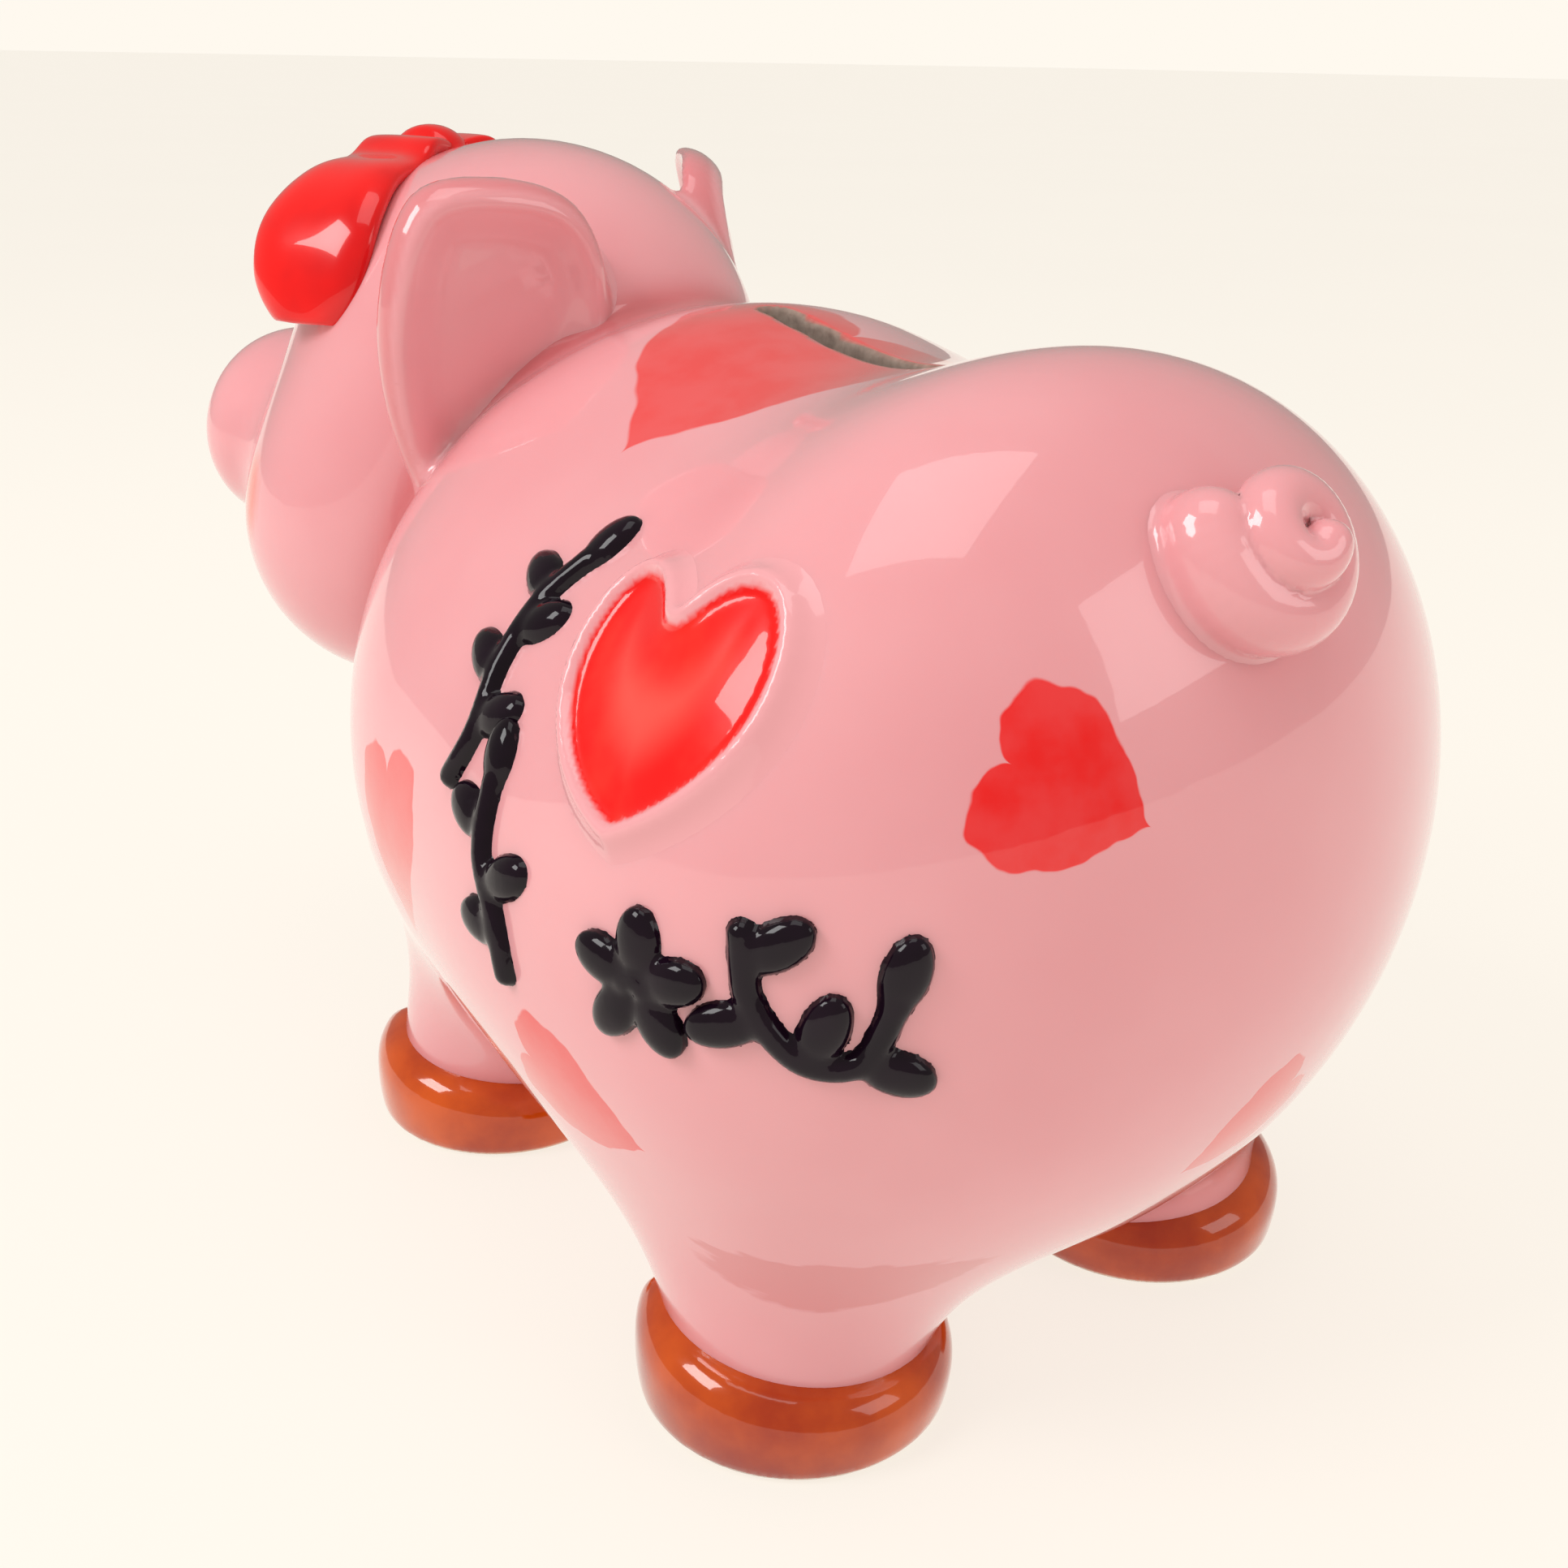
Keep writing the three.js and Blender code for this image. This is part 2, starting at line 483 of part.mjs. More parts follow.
// ---------------------------------------------------------------- tail
// One fat curl that winds in to a blunt tip and stands proud of the rump.
function tail() {
  const seat = seatOn(torso, surface(torso, torsoCentre, vec(0, rumpEnd, TAIL.up)));
  const rings = 26;
  const sides = 8;
  const startTurn = rad(TAIL_WIND.start);
  const centreLine = (share) => {
    const turn = startTurn + share * TAIL.turns * 2 * Math.PI;
    const radius = TAIL.coil * (1 - TAIL_WIND.inward * share);
    return vec(radius * Math.cos(turn), radius * Math.sin(turn), TAIL.seat + TAIL.rise * share);
  };
  const thickness = (share) => THREE.MathUtils.lerp(TAIL.root, TAIL.tip, share);
  const sections = Array.from({ length: rings + 1 }, (_, i) => {
    const share = i / rings;
    const middle = centreLine(share);
    const along = centreLine(share + 0.01).sub(centreLine(share - 0.01)).normalize();
    const side = along.clone().cross(vec(0, 0, 1)).normalize();
    const up = along.clone().cross(side);
    const taper = Math.min(1, Math.sqrt((1.02 - share) / 0.08));
    return Array.from({ length: sides }, (_, j) => {
      const angle = (2 * Math.PI * j) / sides;
      const radius = thickness(share) * taper;
      return middle.clone()
        .addScaledVector(side, radius * Math.cos(angle))
        .addScaledVector(up, radius * Math.sin(angle));
    });
  });
  const curl = new LoftGeometry(sections, { capStart: true, capEnd: true });
  return solid(curl, seat).subtract(torsoClear);
}

// ---------------------------------------------------------------- the whole bank
const bank = new THREE.Group();
bank.add(node("body_shell", bodyShell(), PINK));
bank.add(node("snout", snout(), PINK));
[["left", 1], ["right", -1]].forEach(([name, side]) => {
  bank.add(node(`ear_${name}`, ear(side), PINK));
  bank.add(node(`eye_${name}`, eye(side), BLACK));
  bank.add(node(`bow_loop_${name}`, bowLoop(side), RED));
});
bank.add(node("bow_knot", bowKnot(0).subtract(headClear), RED));
bank.add(node("tail", tail(), PINK));
bank.add(node("heart_medallion", heart, RED));
vines.forEach(([name, ...shape]) => bank.add(node(name, vine(...shape), BLACK)));
feet.forEach((foot) => bank.add(node(`hoof_${foot.name}`, hoof(foot), AMBER)));
bank.add(node("stopper", stopper(), RUBBER));

// The part's origin is the middle of its footprint.
const extent = new THREE.Box3().setFromObject(bank, true);
const middle = extent.getCenter(vec(0, 0, 0));
bank.position.set(-middle.x, -middle.y, -extent.min.z);

export default bank;
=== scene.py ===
"""A glazed ceramic pig coin bank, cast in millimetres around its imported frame."""
import json
import math

import bmesh
import bpy
import numpy as np
from mathutils import Matrix, Vector


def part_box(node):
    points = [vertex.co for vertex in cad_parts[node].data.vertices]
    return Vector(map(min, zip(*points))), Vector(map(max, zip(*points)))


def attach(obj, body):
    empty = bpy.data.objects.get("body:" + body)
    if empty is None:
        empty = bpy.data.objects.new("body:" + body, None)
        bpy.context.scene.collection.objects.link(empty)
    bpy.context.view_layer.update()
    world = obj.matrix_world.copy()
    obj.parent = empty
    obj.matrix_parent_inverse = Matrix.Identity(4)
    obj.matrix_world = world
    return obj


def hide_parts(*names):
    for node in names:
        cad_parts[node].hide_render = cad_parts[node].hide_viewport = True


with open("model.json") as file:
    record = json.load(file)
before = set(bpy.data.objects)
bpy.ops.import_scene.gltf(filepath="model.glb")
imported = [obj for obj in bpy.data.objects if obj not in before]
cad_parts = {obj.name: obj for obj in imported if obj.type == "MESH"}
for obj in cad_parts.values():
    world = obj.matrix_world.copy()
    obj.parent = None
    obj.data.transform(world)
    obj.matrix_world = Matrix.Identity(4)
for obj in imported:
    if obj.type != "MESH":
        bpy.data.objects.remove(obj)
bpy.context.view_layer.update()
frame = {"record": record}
MM = 0.001

# ---------------------------------------------------------------- sizes, in mm and degrees
BODY_LENGTH = 140
BELLY_CLEARANCE = 17.3
RUMP = (118, 72, 110)
SHOULDER = (118, 90, 108)
WAIST = (119, 92, 83.5)
WAIST_RISE = 3
WAIST_FROM_RUMP = 62.5
RUMP_BLEND = 30
WAIST_BLEND = 25
NECK_BLEND = 6
WALL = 4
GAP = 0.3
BODY_LOW = (-66, -122, 3)
BODY_HIGH = (66, 73, 148)

NECK_SETBACK = 15.2
HEAD_TURN = math.radians(27)
SKULL = (69.3, 70, 66.2)
SKULL_FORWARD = 19.2
SKULL_HEIGHT = 111.2
JOWL = dict(radius=24.1, spread=15.4, drop=21.9, forward=13.5, blend=14)
MUZZLE = dict(radius=18.5, stretch=1.15, drop=24.1, forward=28, blend=12)
SNOUT = dict(width=38, height=32, edge=5, back_edge=1, drop=13.5, proud=12, deep=22, blend=5)
MOUTH_CORNER = np.array([34.0, -47.5, 95.0])
SNOUT_DOME = 0.004
NOSTRIL = dict(width=5, height=8, spread=7.5, depth=4, soft=1.6)
EYE = dict(size=(6.4, 9, 3.4), sunk=0.6, blend=0.4)

LEG = dict(foot=15.8, thigh=19.4, bottom=4.3, low=10, top=42, lean_in=4.6, lean=7.2, blend=19.6)
REAR_TRACK = 62.8
FRONT_TRACK = 58.4
REAR_SETBACK = 41.4
FRONT_SETBACK = 18.3
HOOF = dict(radius=20.2, heel=10.0, toe=14.5, cleft=3.2, cleft_depth=4.5)
HOOF_BULGE = dict(proud=0.7, height=6, falloff=0.018)
HOOF_EDGE = dict(top=6, sole=1.6, cleft=2.4)
TOE_OUT = math.radians(35)

SLOT = dict(length=38, width=4.2, soft=0.8)
SLOT_REGION = dict(reach=4, above=SKULL_HEIGHT - 10)
STOPPER = dict(hole=13, flange=17, thick=2.4, plug=9, bore=9, cap=3, boss=18, boss_height=4)
STOPPER_EDGE = 0.6
HOLE_EDGE = dict(bore=0.5, flange=0.8)
HEART = dict(width=33, height=31, roll=10, rim=1.7, bead=1.3, proud=1.6, dish=-1.2)
HEART_TOWARD = (0.81, 0.36, 0.56)
HEART_POCKET = 2.2
HEART_DISH_RUN = 11
HEART_EDGE_SOFT = 1.2
HEART_BLEND = 1.6
TRAIL = dict(bead=1.5, leaf=(4.2, 2.5, 1.6), petal=(3.9, 2.6, 1.6), overhang=0.9, under=24.0)
TRAIL_BLEND = dict(leaf=0.8, body=0.5)
TAIL = dict(coil=7.2, root=5.0, tip=2.6, turns=1.45, rise=7.0, seat=1.2, start=155, inward=0.72, up=63)
TAIL_BEADS = 60
TAIL_BLEND = 2.0
# The wrap is the radius that each ear curls to, by side.
EAR = dict(length=45, width=31, thickness=6.2, dish=2.4, rim=6.0, wrap={1: 70, -1: 26}, blend=3)
EAR_DISH = dict(start=1.5, past_rim=2)
EAR_EDGE_SOFT = dict(faces=1.5, rim=3.2)
EAR_SEAT = (0.89, 0.42, 0.17)
BOW = dict(band=2.6, depth=20, waist=10, forward=17, widest=45, scallop=0.7, scallop_turn=7)
BOW_END = dict(start=62, run=16, least=0.25)
BOW_DOME = 1.8
BOW_CLEAR = 0.4
# Degrees from the crown to the side of the head, and height above the skull.
BOW_ARCH = [(2, 2.9), (12, 4.4), (21, 3.4), (34, 5.6), (50, 6.4), (64, 5), (75, 2.9)]
BOW_STEPS = dict(along=4, across=10)
KNOT = (11, 12, 9)
KNOT_BLEND = 1
KNOT_GROOVE = dict(size=(1.4, 18, 6), spread=3.6, up=6, soft=1.6)
SINK = 0.15
ROOT = 3

# Room left around each node's box where its piece is cast, and the size of the faces.
CASTING = dict(
    snout=(7, 0.8), ear=(8, 0.9), tail=(4, 0.6), heart=(4, 0.6), vine=(3, 0.55), blossom=(3, 0.5),
    hoof=(2, 0.9), knot=(3, 0.6), eye=(2.5, 0.45),
)
BODY_FACES = 1.5
CASTING_BATCH = 200000
LEAST_STEEP = 0.05
FAR_AWAY = 1e3
LINE_REACH = 160.0
LINE_HALVINGS = 40

# ---------------------------------------------------------------- where the body stands, from the frame
RUMP_END = BODY_LENGTH / 2
BREAST_END = -BODY_LENGTH / 2


def middle_of(node):
    low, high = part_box(node)
    return (low + high) / 2 / MM


rear_axle = (middle_of("hoof_rear_left") + middle_of("hoof_rear_right")) / 2
ORIGIN = np.array([rear_axle.x, rear_axle.y - (RUMP_END - REAR_SETBACK), 0.0])
stopper_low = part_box("stopper")[0].z / MM
STOPPER_AT = np.array(middle_of("stopper")) - ORIGIN
FLANGE_SEAT = stopper_low + STOPPER["thick"] + GAP
slot_box = next(o for o in frame["record"]["physics"]["openings"] if o["name"] == "coin_slot")["box_m"]
SLOT_Y = (slot_box[0][1] + slot_box[1][1]) / 2 / MM - ORIGIN[1]


# ---------------------------------------------------------------- smooth forms, negative inside
def ellipsoid(points, centre, size):
    radii = np.asarray(size, float) / 2
    offset = (points - centre) / radii
    near = np.linalg.norm(offset, axis=1)
    slope = np.linalg.norm(offset / radii, axis=1)
    return near * (near - 1) / (slope + 1e-9)


def blended(a, b, soft):
    """Two forms run together with a fillet."""
    share = np.clip(0.5 + 0.5 * (b - a) / soft, 0, 1)
    return b + (a - b) * share - soft * share * (1 - share)


def met(a, b, soft):
    """Where two forms overlap, with a rounded edge."""
    return -blended(-a, -b, soft)


def carved(a, b, soft):
    """The first form with the second taken out of it."""
    return -blended(-a, b, soft)


TORSO_CENTRE = np.array([0, RUMP_END - WAIST_FROM_RUMP, BELLY_CLEARANCE + WAIST_RISE + WAIST[2] / 2])


def torso(points):
    base = BELLY_CLEARANCE
    rump = ellipsoid(points, (0, RUMP_END - RUMP[1] / 2, base + RUMP[2] / 2), RUMP)
    shoulder = ellipsoid(points, (0, BREAST_END + SHOULDER[1] / 2, base + SHOULDER[2] / 2), SHOULDER)
    waist = ellipsoid(points, TORSO_CENTRE, WAIST)
    return blended(blended(rump, shoulder, RUMP_BLEND), waist, WAIST_BLEND)


NECK = np.array([0, BREAST_END + NECK_SETBACK, 0])
TURN = np.array(Matrix.Rotation(HEAD_TURN, 3, "Z"))
SKULL_CENTRE = np.array([0, -SKULL_FORWARD, SKULL_HEIGHT])


def in_head(points):
    return (points - NECK) @ TURN


def out_of_head(points):
    return np.asarray(points) @ TURN.T + NECK


def head_local(points):
    """The head in its own frame, before it is turned aside."""
    skull = ellipsoid(points, SKULL_CENTRE, SKULL)
    jowl_at = SKULL_CENTRE + np.array([JOWL["spread"], -JOWL["forward"], -JOWL["drop"]])
    folded = points.copy()
    folded[:, 0] = np.abs(folded[:, 0])
    jowls = np.linalg.norm(folded - jowl_at, axis=1) - JOWL["radius"]
    across = 2 * MUZZLE["radius"]
    muzzle_at = SKULL_CENTRE + np.array([0, -MUZZLE["forward"], -MUZZLE["drop"]])
    muzzle = ellipsoid(points, muzzle_at, (across * MUZZLE["stretch"], across, across))
    return blended(blended(skull, jowls, JOWL["blend"]), muzzle, MUZZLE["blend"])


def head(points):
    return head_local(in_head(points))


FEET = {
    "rear_left": (1, REAR_TRACK, RUMP_END - REAR_SETBACK, -1),
    "rear_right": (-1, REAR_TRACK, RUMP_END - REAR_SETBACK, -1),
    "front_left": (1, FRONT_TRACK, BREAST_END + FRONT_SETBACK, 1),
    "front_right": (-1, FRONT_TRACK, BREAST_END + FRONT_SETBACK, 1),
}


def leg(points, foot):
    """A cone that leans in and towards the middle, from inside the hoof up into the belly."""
    side, track, y, lean = foot
    share = np.clip((points[:, 2] - LEG["low"]) / (LEG["top"] - LEG["low"]), 0, 1)
    across = points[:, 0] - side * (track / 2 - share * LEG["lean_in"])
    along = points[:, 1] - (y + lean * share * LEG["lean"])
    cone = np.hypot(across, along) - (LEG["foot"] + share * (LEG["thigh"] - LEG["foot"]))
    return np.maximum(np.maximum(cone, LEG["bottom"] - points[:, 2]), points[:, 2] - LEG["top"])


def outside(points):
    form = blended(torso(points), head(points), NECK_BLEND)
    for foot in FEET.values():
        form = blended(form, leg(points, foot), LEG["blend"])
    return form


def drum(points, radius, low, high):
    across = np.hypot(points[:, 0] - STOPPER_AT[0], points[:, 1] - STOPPER_AT[1]) - radius
    return np.maximum(across, np.maximum(low - points[:, 2], points[:, 2] - high))


def slot_way(points):
    """The coin slot's upright way through the back."""
    straight = (SLOT["length"] - SLOT["width"]) / 2
    along = np.maximum(np.abs(points[:, 1] - SLOT_Y) - straight, 0)
    across = np.hypot(points[:, 0], along) - SLOT["width"] / 2
    return np.maximum(across, TORSO_CENTRE[2] + WAIST[2] / 4 - points[:, 2])


def shell(points):
    """The hollow cast body: a wall with the slot, the stopper's seat and the heart's pocket."""
    skin = outside(points)
    boss = drum(points, STOPPER["boss"], 0, FLANGE_SEAT + STOPPER["boss_height"])
    hollow = np.maximum(skin + WALL, -boss)
    form = np.maximum(skin, -hollow)
    form = carved(form, slot_way(points), SLOT["soft"])
    form = carved(form, drum(points, STOPPER["hole"], 0, FLANGE_SEAT + 4 * WALL), HOLE_EDGE["bore"])
    form = carved(form, drum(points, STOPPER["flange"] + GAP, 0, FLANGE_SEAT), HOLE_EDGE["flange"])
    return np.maximum(form, -heart_pocket(points))


# ---------------------------------------------------------------- places on the surface
def surface(form, start, direction, out=0.0):
    """The point where a line from inside a form leaves it, `out` mm beyond its surface."""
    step = np.asarray(direction, float) / np.linalg.norm(direction)
    near, far = 0.0, LINE_REACH
    for _ in range(LINE_HALVINGS):
        halfway = (near + far) / 2
        if form(np.array([start + step * halfway]))[0] < out:
            near = halfway
        else:
            far = halfway
    return start + step * near


def slope_of(form, points, step=0.3):
    slope = np.empty_like(points)
    for axis in range(3):
        move = np.zeros(3)
        move[axis] = step
        slope[:, axis] = (form(points + move) - form(points - move)) / (2 * step)
    return slope


def seat_on(form, point, roll=0.0):
    """The frame at a surface point as columns x, y, z: y runs up the form and z points out of it."""
    out = slope_of(form, np.array([point]))[0]
    out /= np.linalg.norm(out)
    across = np.cross((0, 0, 1), out)
    across /= np.linalg.norm(across)
    axes = np.stack([across, np.cross(out, across), out], axis=1)
    return axes @ np.array(Matrix.Rotation(math.radians(roll), 3, "Z"))


def torso_seat(direction, roll=0.0):
    point = surface(torso, TORSO_CENTRE, direction)
    return point, seat_on(torso, point, roll)


def smooth_line(points, steps=10, closed=False):
    """A smooth line through a few chosen points."""
    points = [np.asarray(p, float) for p in points]
    count = len(points)
    line = []
    for i in range(count if closed else count - 1):
        if closed:
            a, b, c, d = (points[(i + k) % count] for k in (-1, 0, 1, 2))
        else:
            a, b, c, d = (points[min(max(i + k, 0), count - 1)] for k in (-1, 0, 1, 2))
        for t in np.arange(steps) / steps:
            line.append(0.5 * (2 * b + (c - a) * t + (2 * a - 5 * b + 4 * c - d) * t**2
                               + (3 * b - a - 3 * c + d) * t**3))
    if not closed:
        line.append(points[-1])
    return np.array(line)


def from_outline(places, outline):
    """Signed distance from flat places to a closed outline, negative inside."""
    best = np.full(len(places), 1e9)
    inside = np.zeros(len(places), bool)
    for a, b in zip(outline, np.roll(outline, -1, axis=0)):
        edge = b - a
        offset = places - a
        share = np.clip(offset @ edge / (edge @ edge + 1e-12), 0, 1)
        best = np.minimum(best, np.linalg.norm(offset - share[:, None] * edge, axis=1))
        crosses = (a[1] > places[:, 1]) != (b[1] > places[:, 1])
        rise = edge[1] if edge[1] else 1e-12
        inside ^= crosses & (places[:, 0] < a[0] + edge[0] * (places[:, 1] - a[1]) / rise)
    return np.where(inside, -best, best)


def heart_outline(width, height):
    w, top, tip = width / 2, height * 0.42, -height * 0.58

    def arc(a, b, c, d):
        t = np.linspace(0, 1, 13)[:-1, None]
        corners = [np.array(p, float) for p in (a, b, c, d)]
        return ((1 - t) ** 3 * corners[0] + 3 * (1 - t) ** 2 * t * corners[1]
                + 3 * (1 - t) * t**2 * corners[2] + t**3 * corners[3])

    right = np.vstack([
        arc((0, tip), (w * 0.5, tip * 0.86), (w, tip * 0.4), (w, top * 0.22)),
        arc((w, top * 0.22), (w, top * 1.12), (w * 0.42, top * 1.42), (0, top * 0.66)),
        [(0, top * 0.66)],
    ])
    return np.vstack([right, (right * [-1, 1])[::-1][1:-1]])


# ---------------------------------------------------------------- casting a form as a mesh
def cast(form, low, high, pitch):
    """The closed skin of a form, as points and four-sided faces, on a grid of cells."""
    axes = [np.arange(a - 2 * pitch, b + 2 * pitch, pitch) for a, b in zip(low, high)]
    grid = np.stack(np.meshgrid(*axes, indexing="ij"), axis=-1)
    shape = grid.shape[:3]
    flat = grid.reshape(-1, 3)
    batches = np.array_split(flat, len(flat) // CASTING_BATCH + 1)
    value = np.concatenate([form(batch) for batch in batches])
    inside = (value < 0).reshape(shape)
    corners = [inside[i:shape[0] - 1 + i, j:shape[1] - 1 + j, k:shape[2] - 1 + k]
               for i in (0, 1) for j in (0, 1) for k in (0, 1)]
    count = np.sum(corners, axis=0)
    mixed = (count > 0) & (count < 8)
    index = np.full(mixed.shape, -1)
    index[mixed] = np.arange(mixed.sum())
    points = np.stack([axes[n][where] + pitch / 2 for n, where in enumerate(np.nonzero(mixed))], axis=1)
    faces = []
    for turn in range(3):
        order = [(turn + n) % 3 for n in range(3)]
        solid, cell = inside.transpose(order), index.transpose(order)
        near, far = solid[:-1, 1:-1, 1:-1], solid[1:, 1:-1, 1:-1]
        i, j, k = np.nonzero(near != far)
        quad = np.stack([cell[i, j, k], cell[i, j + 1, k], cell[i, j + 1, k + 1], cell[i, j, k + 1]], 1)
        back = ~near[i, j, k]
        quad[back] = quad[back][:, ::-1]
        faces.append(quad)
    return points, np.vstack(faces)


def settle(form, points, most, rounds=4):
    """Points drawn onto a form's surface."""
    for _ in range(rounds):
        slope = slope_of(form, points)
        steep = np.maximum((slope**2).sum(1), LEAST_STEEP)
        step = np.clip(form(points) / steep, -most, most)
        points = points - step[:, None] * slope
    return points


def relaxed(points, faces):
    """Each point moved halfway to the middle of its neighbours."""
    total = np.zeros_like(points)
    count = np.zeros(len(points))
    for a, b in ((0, 1), (1, 2), (2, 3), (3, 0)):
        for here, there in ((a, b), (b, a)):
            np.add.at(total, faces[:, here], points[faces[:, there]])
            np.add.at(count, faces[:, here], 1)
    return (points + total / np.maximum(count, 1)[:, None]) / 2


def as_object(name, points, faces):
    mesh = bpy.data.meshes.new(name)
    mesh.from_pydata(((points + ORIGIN) * MM).tolist(), [], faces.tolist())
    return finished(name, mesh)


def finished(name, mesh):
    piece = bpy.data.objects.new(name, mesh)
    bpy.context.scene.collection.objects.link(piece)
    for face in mesh.polygons:
        face.use_smooth = True
    return piece


def modelled(name, form, low, high, pitch, close_up=None):
    """A piece cast from its form, with finer faces within `close_up`, a test of places."""
    points, faces = cast(form, low, high, pitch)
    for _ in range(2):
        points = relaxed(settle(form, points, pitch), faces)
    points = settle(form, points, pitch)
    piece = as_object(name, points, faces)
    if close_up:
        work = bmesh.new()
        work.from_mesh(piece.data)
        places = np.array([v.co for v in work.verts]) / MM - ORIGIN
        chosen = close_up(places)
        edges = [e for e in work.edges if chosen[e.verts[0].index] and chosen[e.verts[1].index]]
        bmesh.ops.subdivide_edges(work, edges=edges, cuts=1, use_grid_fill=True)
        work.to_mesh(piece.data)
        work.free()
        points = settle(form, places_of(piece), pitch / 2)
        piece.data.vertices.foreach_set("co", ((points + ORIGIN) * MM).ravel())
        piece.data.update()
    return piece


def places_of(piece):
    places = np.empty(len(piece.data.vertices) * 3)
    piece.data.vertices.foreach_get("co", places)
    return places.reshape(-1, 3) / MM - ORIGIN


def mark(piece, name, values):
    """A value from 0 to 1 at each point, for the glaze to follow."""
    layer = piece.data.attributes.new(name, "FLOAT", "POINT")
    layer.data.foreach_set("value", np.clip(values, 0, 1).astype(np.float32))


def ramp(values, low, high):
    share = np.clip((values - low) / (high - low), 0, 1)
    return share * share * (3 - 2 * share)


# ---------------------------------------------------------------- glazes
def colour(red, green, blue):
    """A screen colour as the light it stands for."""
    return tuple((c / 12.92 if c <= 0.04045 else ((c + 0.055) / 1.055) ** 2.4)
                 for c in (red / 255, green / 255, blue / 255)) + (1.0,)


class Glaze:
    """A material being mixed, with the few kinds of node that the glazes use."""

    def __init__(self, name, roughness=0.22, coat=1.0, coat_roughness=0.03, sheen=0.2):
        self.material = bpy.data.materials.new(name)
        self.material.use_nodes = True
        self.nodes = self.material.node_tree.nodes
        self.links = self.material.node_tree.links
        self.shader = self.nodes["Principled BSDF"]
        self.set("Roughness", roughness)
        self.set("Coat Weight", coat)
        self.set("Coat Roughness", coat_roughness)
        self.set("Specular IOR Level", sheen)
        self.place = self.nodes.new("ShaderNodeTexCoord").outputs["Object"]

    def set(self, name, value):
        self.shader.inputs[name].default_value = value

    def join(self, value, socket):
        """Link another node's output to a socket, or set a plain value on it."""
        if isinstance(value, bpy.types.NodeSocket):
            self.links.new(value, socket)
        else:
            socket.default_value = value

    def calc(self, kind, *values):
        node = self.nodes.new("ShaderNodeMath")
        node.operation = kind
        for socket, value in zip(node.inputs, values):
            self.join(value, socket)
        return node.outputs[0]

    def noise(self, scale, detail=2.0, place=None):
        node = self.nodes.new("ShaderNodeTexNoise")
        node.inputs["Scale"].default_value = scale
        node.inputs["Detail"].default_value = detail
        self.links.new(place or self.place, node.inputs["Vector"])
        return node

    def between(self, value, low, high, start=0.0, end=1.0):
        node = self.nodes.new("ShaderNodeMapRange")
        node.interpolation_type = "SMOOTHSTEP"
        self.links.new(value, node.inputs["Value"])
        for name, number in zip(("From Min", "From Max", "To Min", "To Max"), (low, high, start, end)):
            node.inputs[name].default_value = number
        return node.outputs["Result"]

    def mix(self, share, first, second):
        node = self.nodes.new("ShaderNodeMix")
        node.data_type = "RGBA"
        factor, first_colour, second_colour = node.inputs[0], node.inputs[6], node.inputs[7]
        self.join(share, factor)
        self.join(first, first_colour)
        self.join(second, second_colour)
        return node.outputs[2]

    def marked(self, name):
        node = self.nodes.new("ShaderNodeAttribute")
        node.attribute_name = name
        return node.outputs["Fac"]

    def local(self, point, axes, size):
        """Object coordinates in a frame on the surface, in shares of a size."""
        node = self.nodes.new("ShaderNodeMapping")
        node.vector_type = "TEXTURE"
        node.inputs["Location"].default_value = Vector((point + ORIGIN) * MM)
        node.inputs["Rotation"].default_value = Matrix(axes.tolist()).to_euler("XYZ")
        node.inputs["Scale"].default_value = Vector(size) * MM
        self.links.new(self.place, node.inputs["Vector"])
        return node.outputs["Vector"]

    def spread(self, place):
        """The x, y and z of a place."""
        node = self.nodes.new("ShaderNodeSeparateXYZ")
        self.links.new(place, node.inputs[0])
        return node.outputs

    def paint(self, base):
        self.links.new(base, self.shader.inputs["Base Color"])

    def dimple(self, height, strength, distance):
        node = self.nodes.new("ShaderNodeBump")
        node.inputs["Strength"].default_value = strength
        node.inputs["Distance"].default_value = distance
        self.links.new(height, node.inputs["Height"])
        self.links.new(node.outputs["Normal"], self.shader.inputs["Normal"])
        self.links.new(node.outputs["Normal"], self.shader.inputs["Coat Normal"])


PINK = colour(237, 166, 172)
DEEP_PINK = colour(226, 142, 149)
RED = colour(238, 3, 1)
BRUSHED_RED = colour(232, 44, 40)
# Pale rose for a painted reflection of the hoof on the glaze above it.
REFLECTED_ROSE = colour(214, 116, 118)
# Bare clay, painted darker than the clay is, as painted shade inside the slot and the hollow.
SHADED_BISQUE = colour(176, 158, 146)
BLUSH = colour(236, 84, 56)
POOLED_PINK = colour(204, 88, 92)
# Darker grit in the bare clay, deepened as painted shade inside the slot and the hollow.
SHADED_GRIT = colour(104, 86, 78)
DISH_RED = colour(240, 34, 22)
# Paler red, a painted highlight in the middle of the heart's dish.
DISH_HIGHLIGHT_RED = colour(246, 104, 92)
RUSSET = colour(156, 36, 2)
TAN = colour(214, 88, 14)
BARE_FOOT = colour(216, 176, 132)
BOW_SHADE = colour(216, 3, 8)
BOW_RED = colour(240, 8, 6)
BLACK = colour(5, 3, 8)
PLUM_BLACK = colour(30, 12, 28)
RUBBER = colour(226, 220, 206)
RUBBER_GREY = colour(206, 198, 182)
PAPER = colour(255, 249, 239)
FLOOR = colour(124, 121, 116)
FLOOR_GRAIN = colour(118, 115, 110)

# Painted hearts: direction from the body's middle, width, height, roll and how strongly the red covers.
PAINTED_HEARTS = [
    ((0.25, -0.23, 0.94), 40, 43, -27, 0.9),
    ((0.37, 0.82, 0.42), 19, 18.5, 62, 1.0),
    ((0.93, -0.34, 0.03), 18, 24, 10, 0.85),
    ((0.935, 0.30, -0.20), 17, 20, 72, 0.9),
    ((-0.06, 0.95, -0.31), 13, 19, -58, 0.85),
]
